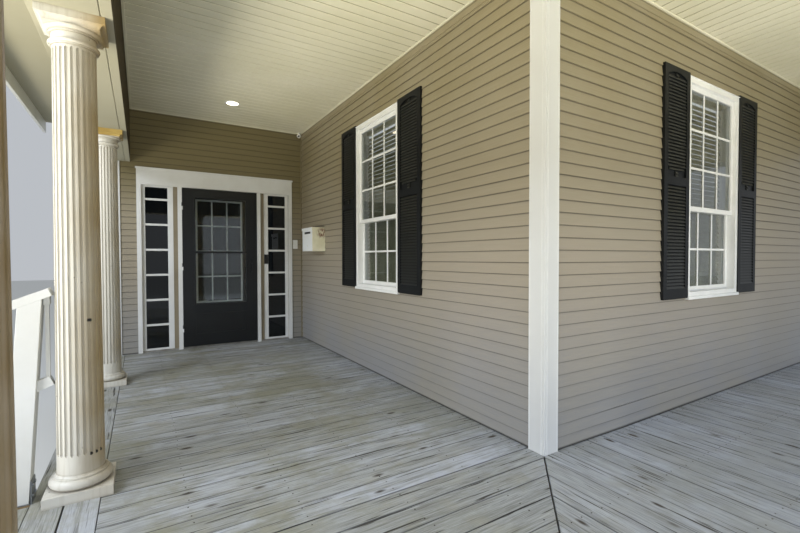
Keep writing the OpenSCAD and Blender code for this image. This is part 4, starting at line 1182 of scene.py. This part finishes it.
for foot, top in (lower_panel, upper_panel):
    count = round((top - foot) / louvre_pitch)
    pitch = (top - foot) / count
    for i in range(count):
        z = foot + i * pitch
        half = panel_w / 2
        if top > middle:
            reach = arch_r ** 2 - (z + pitch - arch_centre) ** 2
            half = min(half, math.sqrt(max(reach, shortest_half ** 2)))
        for y in beside_window:
            verts = lap(shape, y - half, y + half, z, z + pitch, louvre_t, louvre_thin)
            for v in verts:
                v[rise] = (v.co.z - z) / pitch
            bmesh.ops.translate(shape, verts=verts, vec=(panel_face, 0, 0))
on_both_wings(shape)
finished("shutter_louvres", shape, louvre_plastic, rounded=louvre_round)

# %% [markdown]
# Round the entry, white bars part each sidelight into seven panes. They are laid over the glass
# and stand a little proud. The glass isn't in the middle of its sidelight, because the stile
# beside the wall is wider than the one beside the door.

# %% Sidelight bars
light_low, light_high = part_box("sidelights")
light_mid, light_half = (light_low.x + light_high.x) / 2, (light_high.x - light_low.x) / 2
sidelight_w, stile_in, stile_out = 0.35, 0.062, 0.042
glass_in, glass_out = light_half - sidelight_w + stile_in, light_half - stile_out
light_bar_pitch, light_bar_h, light_bar_d, light_bar_round = 0.3155, 0.026, 0.014, 0.002
bars_a_light, light_face = 6, light_low.y + 0.004
shape = bmesh.new()
for side in (-1, 1):
    start, end = sorted((light_mid + side * glass_in, light_mid + side * glass_out))
    for i in range(bars_a_light):
        z = light_low.z + (i + 1) * light_bar_pitch
        block(shape, (start, light_face, z - light_bar_h / 2),
              (end, light_face + light_bar_d, z + light_bar_h / 2))
finished("sidelight_bars", shape, trim_enamel, rounded=light_bar_round)

# %% [markdown]
# The inner door carries a white grille of three by four panes with a rim, which shows through the
# outer door's glass. It rides with the inner door's leaf, so it swings with it. Its bars are
# boxes again, and the outermost ones are the rim and wider than the rest.

# %% Door grille
lite_low, lite_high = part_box("entry_door_glass")
grille_y, grille_d, grille_over = lite_low.y, 0.008, 0.001
rim_bar, thin_bar, grille_round = 0.024, 0.017, 0.0015
grille_columns, grille_rows = 3, 4
width, height = lite_high.x - lite_low.x, lite_high.z - lite_low.z
shape = bmesh.new()
for i in range(grille_columns + 1):
    x = lite_low.x + rim_bar / 2 + (width - rim_bar) * i / grille_columns
    half = (rim_bar if i in (0, grille_columns) else thin_bar) / 2
    block(shape, (x - half, grille_y - grille_d, lite_low.z), (x + half, grille_y, lite_high.z))
for i in range(grille_rows + 1):
    z = lite_low.z + rim_bar / 2 + (height - rim_bar) * i / grille_rows
    half = (rim_bar if i in (0, grille_rows) else thin_bar) / 2
    block(shape, (lite_low.x, grille_y - grille_d - grille_over, z - half), (lite_high.x, grille_y, z + half))
finished("door_grille", shape, window_vinyl, body="entry_door_leaf", rounded=grille_round)

# %% [markdown]
# The outer door holds its glass in a thin moulded rim. It is four strips round the pane, let into
# the leaf by a millimetre, and rides with the leaf.

# %% Outer door rim
pane_low, pane_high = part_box("storm_door_glass")
door_inset = 0.025
door_face = side_len - door_inset
rim, rim_proud, rim_seat, rim_round = 0.016, 0.004, 0.001, 0.002
shape = bmesh.new()
for x1, x2, z1, z2 in ((pane_low.x - rim, pane_low.x, pane_low.z - rim, pane_high.z + rim),
                       (pane_high.x, pane_high.x + rim, pane_low.z - rim, pane_high.z + rim),
                       (pane_low.x, pane_high.x, pane_low.z - rim, pane_low.z),
                       (pane_low.x, pane_high.x, pane_high.z, pane_high.z + rim)):
    block(shape, (x1, door_face - rim_proud, z1), (x2, door_face + rim_seat, z2))
finished("storm_door_rim", shape, door_enamel, body="storm_door_leaf", rounded=rim_round)

# %% [markdown]
# A round lock sits over the pull handle. It is a short cone with its axis towards the eye, and
# its keyhole is a narrow upright ridge, since a slot that small would close up in the bevel.

# %% Lock
handle_low, handle_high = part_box("storm_door_handle")
lock_x, lock_z = (handle_low.x + handle_high.x) / 2, handle_high.z + 0.05
lock_r, lock_front_r, lock_d, lock_round = 0.013, 0.011, 0.008, 0.0006
key_half_w, key_half_h, key_front, key_back = 0.0012, 0.007, 0.0088, 0.007
shape = bmesh.new()
lock = bmesh.ops.create_cone(shape, cap_ends=True, segments=32, radius1=lock_r, radius2=lock_front_r,
                             depth=lock_d)["verts"]
bmesh.ops.rotate(shape, verts=lock, cent=(0, 0, 0), matrix=Matrix.Rotation(math.pi / 2, 3, "X"))
bmesh.ops.translate(shape, verts=lock, vec=(lock_x, door_face - lock_d / 2, lock_z))
block(shape, (lock_x - key_half_w, door_face - key_front, lock_z - key_half_h),
      (lock_x + key_half_w, door_face - key_back, lock_z + key_half_h))
finished("storm_door_lock", shape, black_nylon, body="storm_door_leaf", rounded=lock_round)

# %% [markdown]
# The mailbox gets a dark flap behind its slot and a dark keyhole. Five short ribs at its foot and
# a lip under the slot are pressed into its sheet, so they take the box's own enamel. Heights are
# measured from its foot.

# %% Mailbox fittings
box_mid = (box_low.y + box_high.y) / 2
box_depth = 0.18
box_face, box_foot = box_high.x - box_depth, box_low.z
flap_half, flap_span, flap_depth = 0.125, (0.215, 0.262), (0.0031, 0.006)
keyhole_half, keyhole_span, keyhole_depth = 0.0012, (0.064, 0.076), (-0.0055, -0.0049)
shape = bmesh.new()
for half, span, depth in ((flap_half, flap_span, flap_depth), (keyhole_half, keyhole_span, keyhole_depth)):
    block(shape, (box_face + depth[0], box_mid - half, box_foot + span[0]),
          (box_face + depth[1], box_mid + half, box_foot + span[1]))
finished("mailbox_flap", shape, black_nylon)

rib_step, rib_half, rib_span, rib_proud = 0.055, 0.009, (0.006, 0.03), 0.003
lip_half, lip_span, lip_proud, pressed_seat, pressed_round = 0.135, (0.192, 0.202), 0.0045, 0.001, 0.0015
shape = bmesh.new()
for i in range(-2, 3):
    y = box_mid + i * rib_step
    block(shape, (box_face - rib_proud, y - rib_half, box_foot + rib_span[0]),
          (box_face + pressed_seat, y + rib_half, box_foot + rib_span[1]))
block(shape, (box_face - lip_proud, box_mid - lip_half, box_foot + lip_span[0]),
      (box_face + pressed_seat, box_mid + lip_half, box_foot + lip_span[1]))
finished("mailbox_ribs", shape, mailbox_enamel, rounded=pressed_round)

# %% [markdown]
# The lamp in the ceiling gets its glowing lens, a flat cone that closes the hole of its trim. The
# camera in the corner gets a dark eye, which looks down and out along the wing: a short cone is
# turned from its own axis to that direction and moved out along it.

# %% Lamp lens and camera eye
lamp_x, lamp_y, lamp_hole_r = -1.104, 3.602, 0.066
lens_inset, lens_play, lens_d, lens_drop = 0.012, 0.0005, 0.004, 0.0095
shape = bmesh.new()
lens = bmesh.ops.create_cone(shape, cap_ends=True, segments=48, radius1=lamp_hole_r - lens_inset,
                             radius2=lamp_hole_r - lens_play, depth=lens_d)["verts"]
bmesh.ops.translate(shape, verts=lens, vec=(lamp_x, lamp_y, ceiling_z - lens_drop))
finished("lamp_lens", shape, opal_acrylic)

ball_r, corner_gap, ball_drop = 0.03, 0.022, 0.045
eye_r, eye_front_r, eye_d, eye_out, eye_round = 0.017, 0.012, 0.012, 0.026, 0.001
ball_middle = Vector((-ball_r - corner_gap, side_len - ball_r - corner_gap, ceiling_z - ball_drop))
look = Vector((-0.55, -0.75, -0.35)).normalized()
shape = bmesh.new()
eye = bmesh.ops.create_cone(shape, cap_ends=True, segments=32, radius1=eye_r, radius2=eye_front_r,
                            depth=eye_d)["verts"]
bmesh.ops.rotate(shape, verts=eye, cent=(0, 0, 0), matrix=look.to_track_quat("Z", "Y").to_matrix())
bmesh.ops.translate(shape, verts=eye, vec=ball_middle + look * eye_out)
finished("camera_eye", shape, black_nylon, rounded=eye_round)

# %% [markdown]
# Bolts hold the steel shoes to the posts, four in each. A bolt head has six sides, so a cone of
# six segments and equal radii is one, once its axis points along X.

# %% Shoe bolts
shoe_low, shoe_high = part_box("newel_shoes")
post_w, bolt_r, bolt_h, bolt_round = 0.089, 0.0085, 0.006, 0.001
bolt_sides, bolt_heights = (-0.022, 0.022), (0.035, 0.085)
shape = bmesh.new()
for y in (shoe_low.y + post_w / 2, shoe_high.y - post_w / 2):
    for side in bolt_sides:
        for up in bolt_heights:
            head = bmesh.ops.create_cone(shape, cap_ends=True, segments=6, radius1=bolt_r, radius2=bolt_r,
                                         depth=bolt_h)["verts"]
            bmesh.ops.rotate(shape, verts=head, cent=(0, 0, 0), matrix=Matrix.Rotation(math.pi / 2, 3, "Y"))
            bmesh.ops.translate(shape, verts=head, vec=(shoe_high.x + bolt_h / 2, y + side, deck_top + up))
finished("shoe_bolts", shape, galvanised_steel, rounded=bolt_round)

# %% [markdown]
# The roof is laid with asphalt shingles. A tab is a thin wedge that is 305 mm wide and shows 140
# mm, every course is shifted by half a tab, and the tabs are cut where the two slopes meet on
# the hip. They are drawn flat, from the eaves up, and then tilted on to the slope one by one.

# %% Shingles
eave_out, roof_pitch = 2.97, math.radians(14)
eave_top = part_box("roof_side")[1].z - eave_out * math.tan(roof_pitch)
slope_len = eave_out / math.cos(roof_pitch)
tab_w, tab_gap, exposure, tab_t, tab_thin = 0.305, 0.006, 0.14, 0.007, 0.0015
tab_joint, ridge_gap, rake_gap, narrowest_tab = 0.003, 0.002, 0.002, 0.02
TO_SLOPE = Matrix.Translation((-eave_out, 0, eave_top)) @ Matrix.Rotation(-roof_pitch, 4, "Y")


def shingle_slope(start, end):
    """Shingles on the slope over the side wing, from start to end along Y."""
    shape = board_shape()
    for row in range(math.ceil(slope_len / exposure)):
        low = row * exposure
        high = min(low + exposure, slope_len - ridge_gap)
        y = start - (tab_w / 2 if row % 2 else 0)
        while y < end:
            a, b = max(y, start), min(y + tab_w - tab_gap, end)
            if b - a > narrowest_tab:
                verts = block(shape, (low + tab_joint, a, 0), (high, b, tab_t))
                for v in verts:
                    if v.co.z > tab_t / 2 and v.co.x > (low + high) / 2:
                        v.co.z = tab_thin
                bmesh.ops.transform(shape, matrix=TO_SLOPE, verts=verts)
                faces = faces_of(verts)
                if a < 0:
                    faces = cut(shape, faces, (-diagonal_gap, 0, 0), mitre_normal)
                mark(shape, faces, 1)
            y += tab_w
    return shape


shape = shingle_slope(-eave_out, side_len - rake_gap)
finished("shingles_side", shape, asphalt_shingle)
shape = shingle_slope(-eave_out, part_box("roof_front")[1].x - rake_gap)
over_diagonal(shape)
finished("shingles_front", shape, asphalt_shingle)

# %% [markdown]
# Folded caps cover the line of the hip, each lapping over the one below. A cap starts as a sheet
# with a crease along its middle: a grid of one by two faces, whose sides fall as the two slopes
# do. Solidify gives it its thickness, and the lowest one is trimmed at both eaves.

# %% Hip caps
hip_slope = math.atan(math.tan(roof_pitch) / math.sqrt(2))
hip_len = eave_out * math.sqrt(2) / math.cos(hip_slope)
TO_HIP = (Matrix.Translation((-eave_out, -eave_out, eave_top)) @ Matrix.Rotation(math.pi / 4, 4, "Z")
          @ Matrix.Rotation(-hip_slope, 4, "Y"))
cap_len, cap_lap, cap_half, cap_t = 0.21, 0.04, 0.13, 0.006
cap_start, low_rise, high_rise = 0.06, 0.016, 0.009
shortest_cap, top_gap = 0.12, 0.05
side_fall = math.tan(roof_pitch) / math.sqrt(2) * cap_half
shape = board_shape()
step = 0.0
while step < hip_len - shortest_cap:
    end = min(step + cap_len, hip_len - top_gap)
    sheet = bmesh.ops.create_grid(shape, x_segments=1, y_segments=2, size=1)["verts"]
    for v in sheet:
        up = low_rise if v.co.x < 0 else high_rise
        v.co = ((end if v.co.x > 0 else step) + cap_start, v.co.y * cap_half, up - abs(v.co.y) * side_fall)
    slab = bmesh.ops.solidify(shape, geom=faces_of(sheet), thickness=cap_t)["geom"]
    added = [part for part in slab if isinstance(part, bmesh.types.BMVert)]
    verts = list(dict.fromkeys(sheet + added))
    bmesh.ops.transform(shape, matrix=TO_HIP, verts=verts)
    faces = faces_of(verts)
    if step == 0.0:
        for normal in ((-1, 0, 0), (0, -1, 0)):
            faces = cut(shape, faces, (-eave_out, -eave_out, 0), normal)
    mark(shape, faces, 0)
    step += cap_len - cap_lap
bmesh.ops.recalc_face_normals(shape, faces=shape.faces[:])
finished("hip_caps", shape, asphalt_shingle)
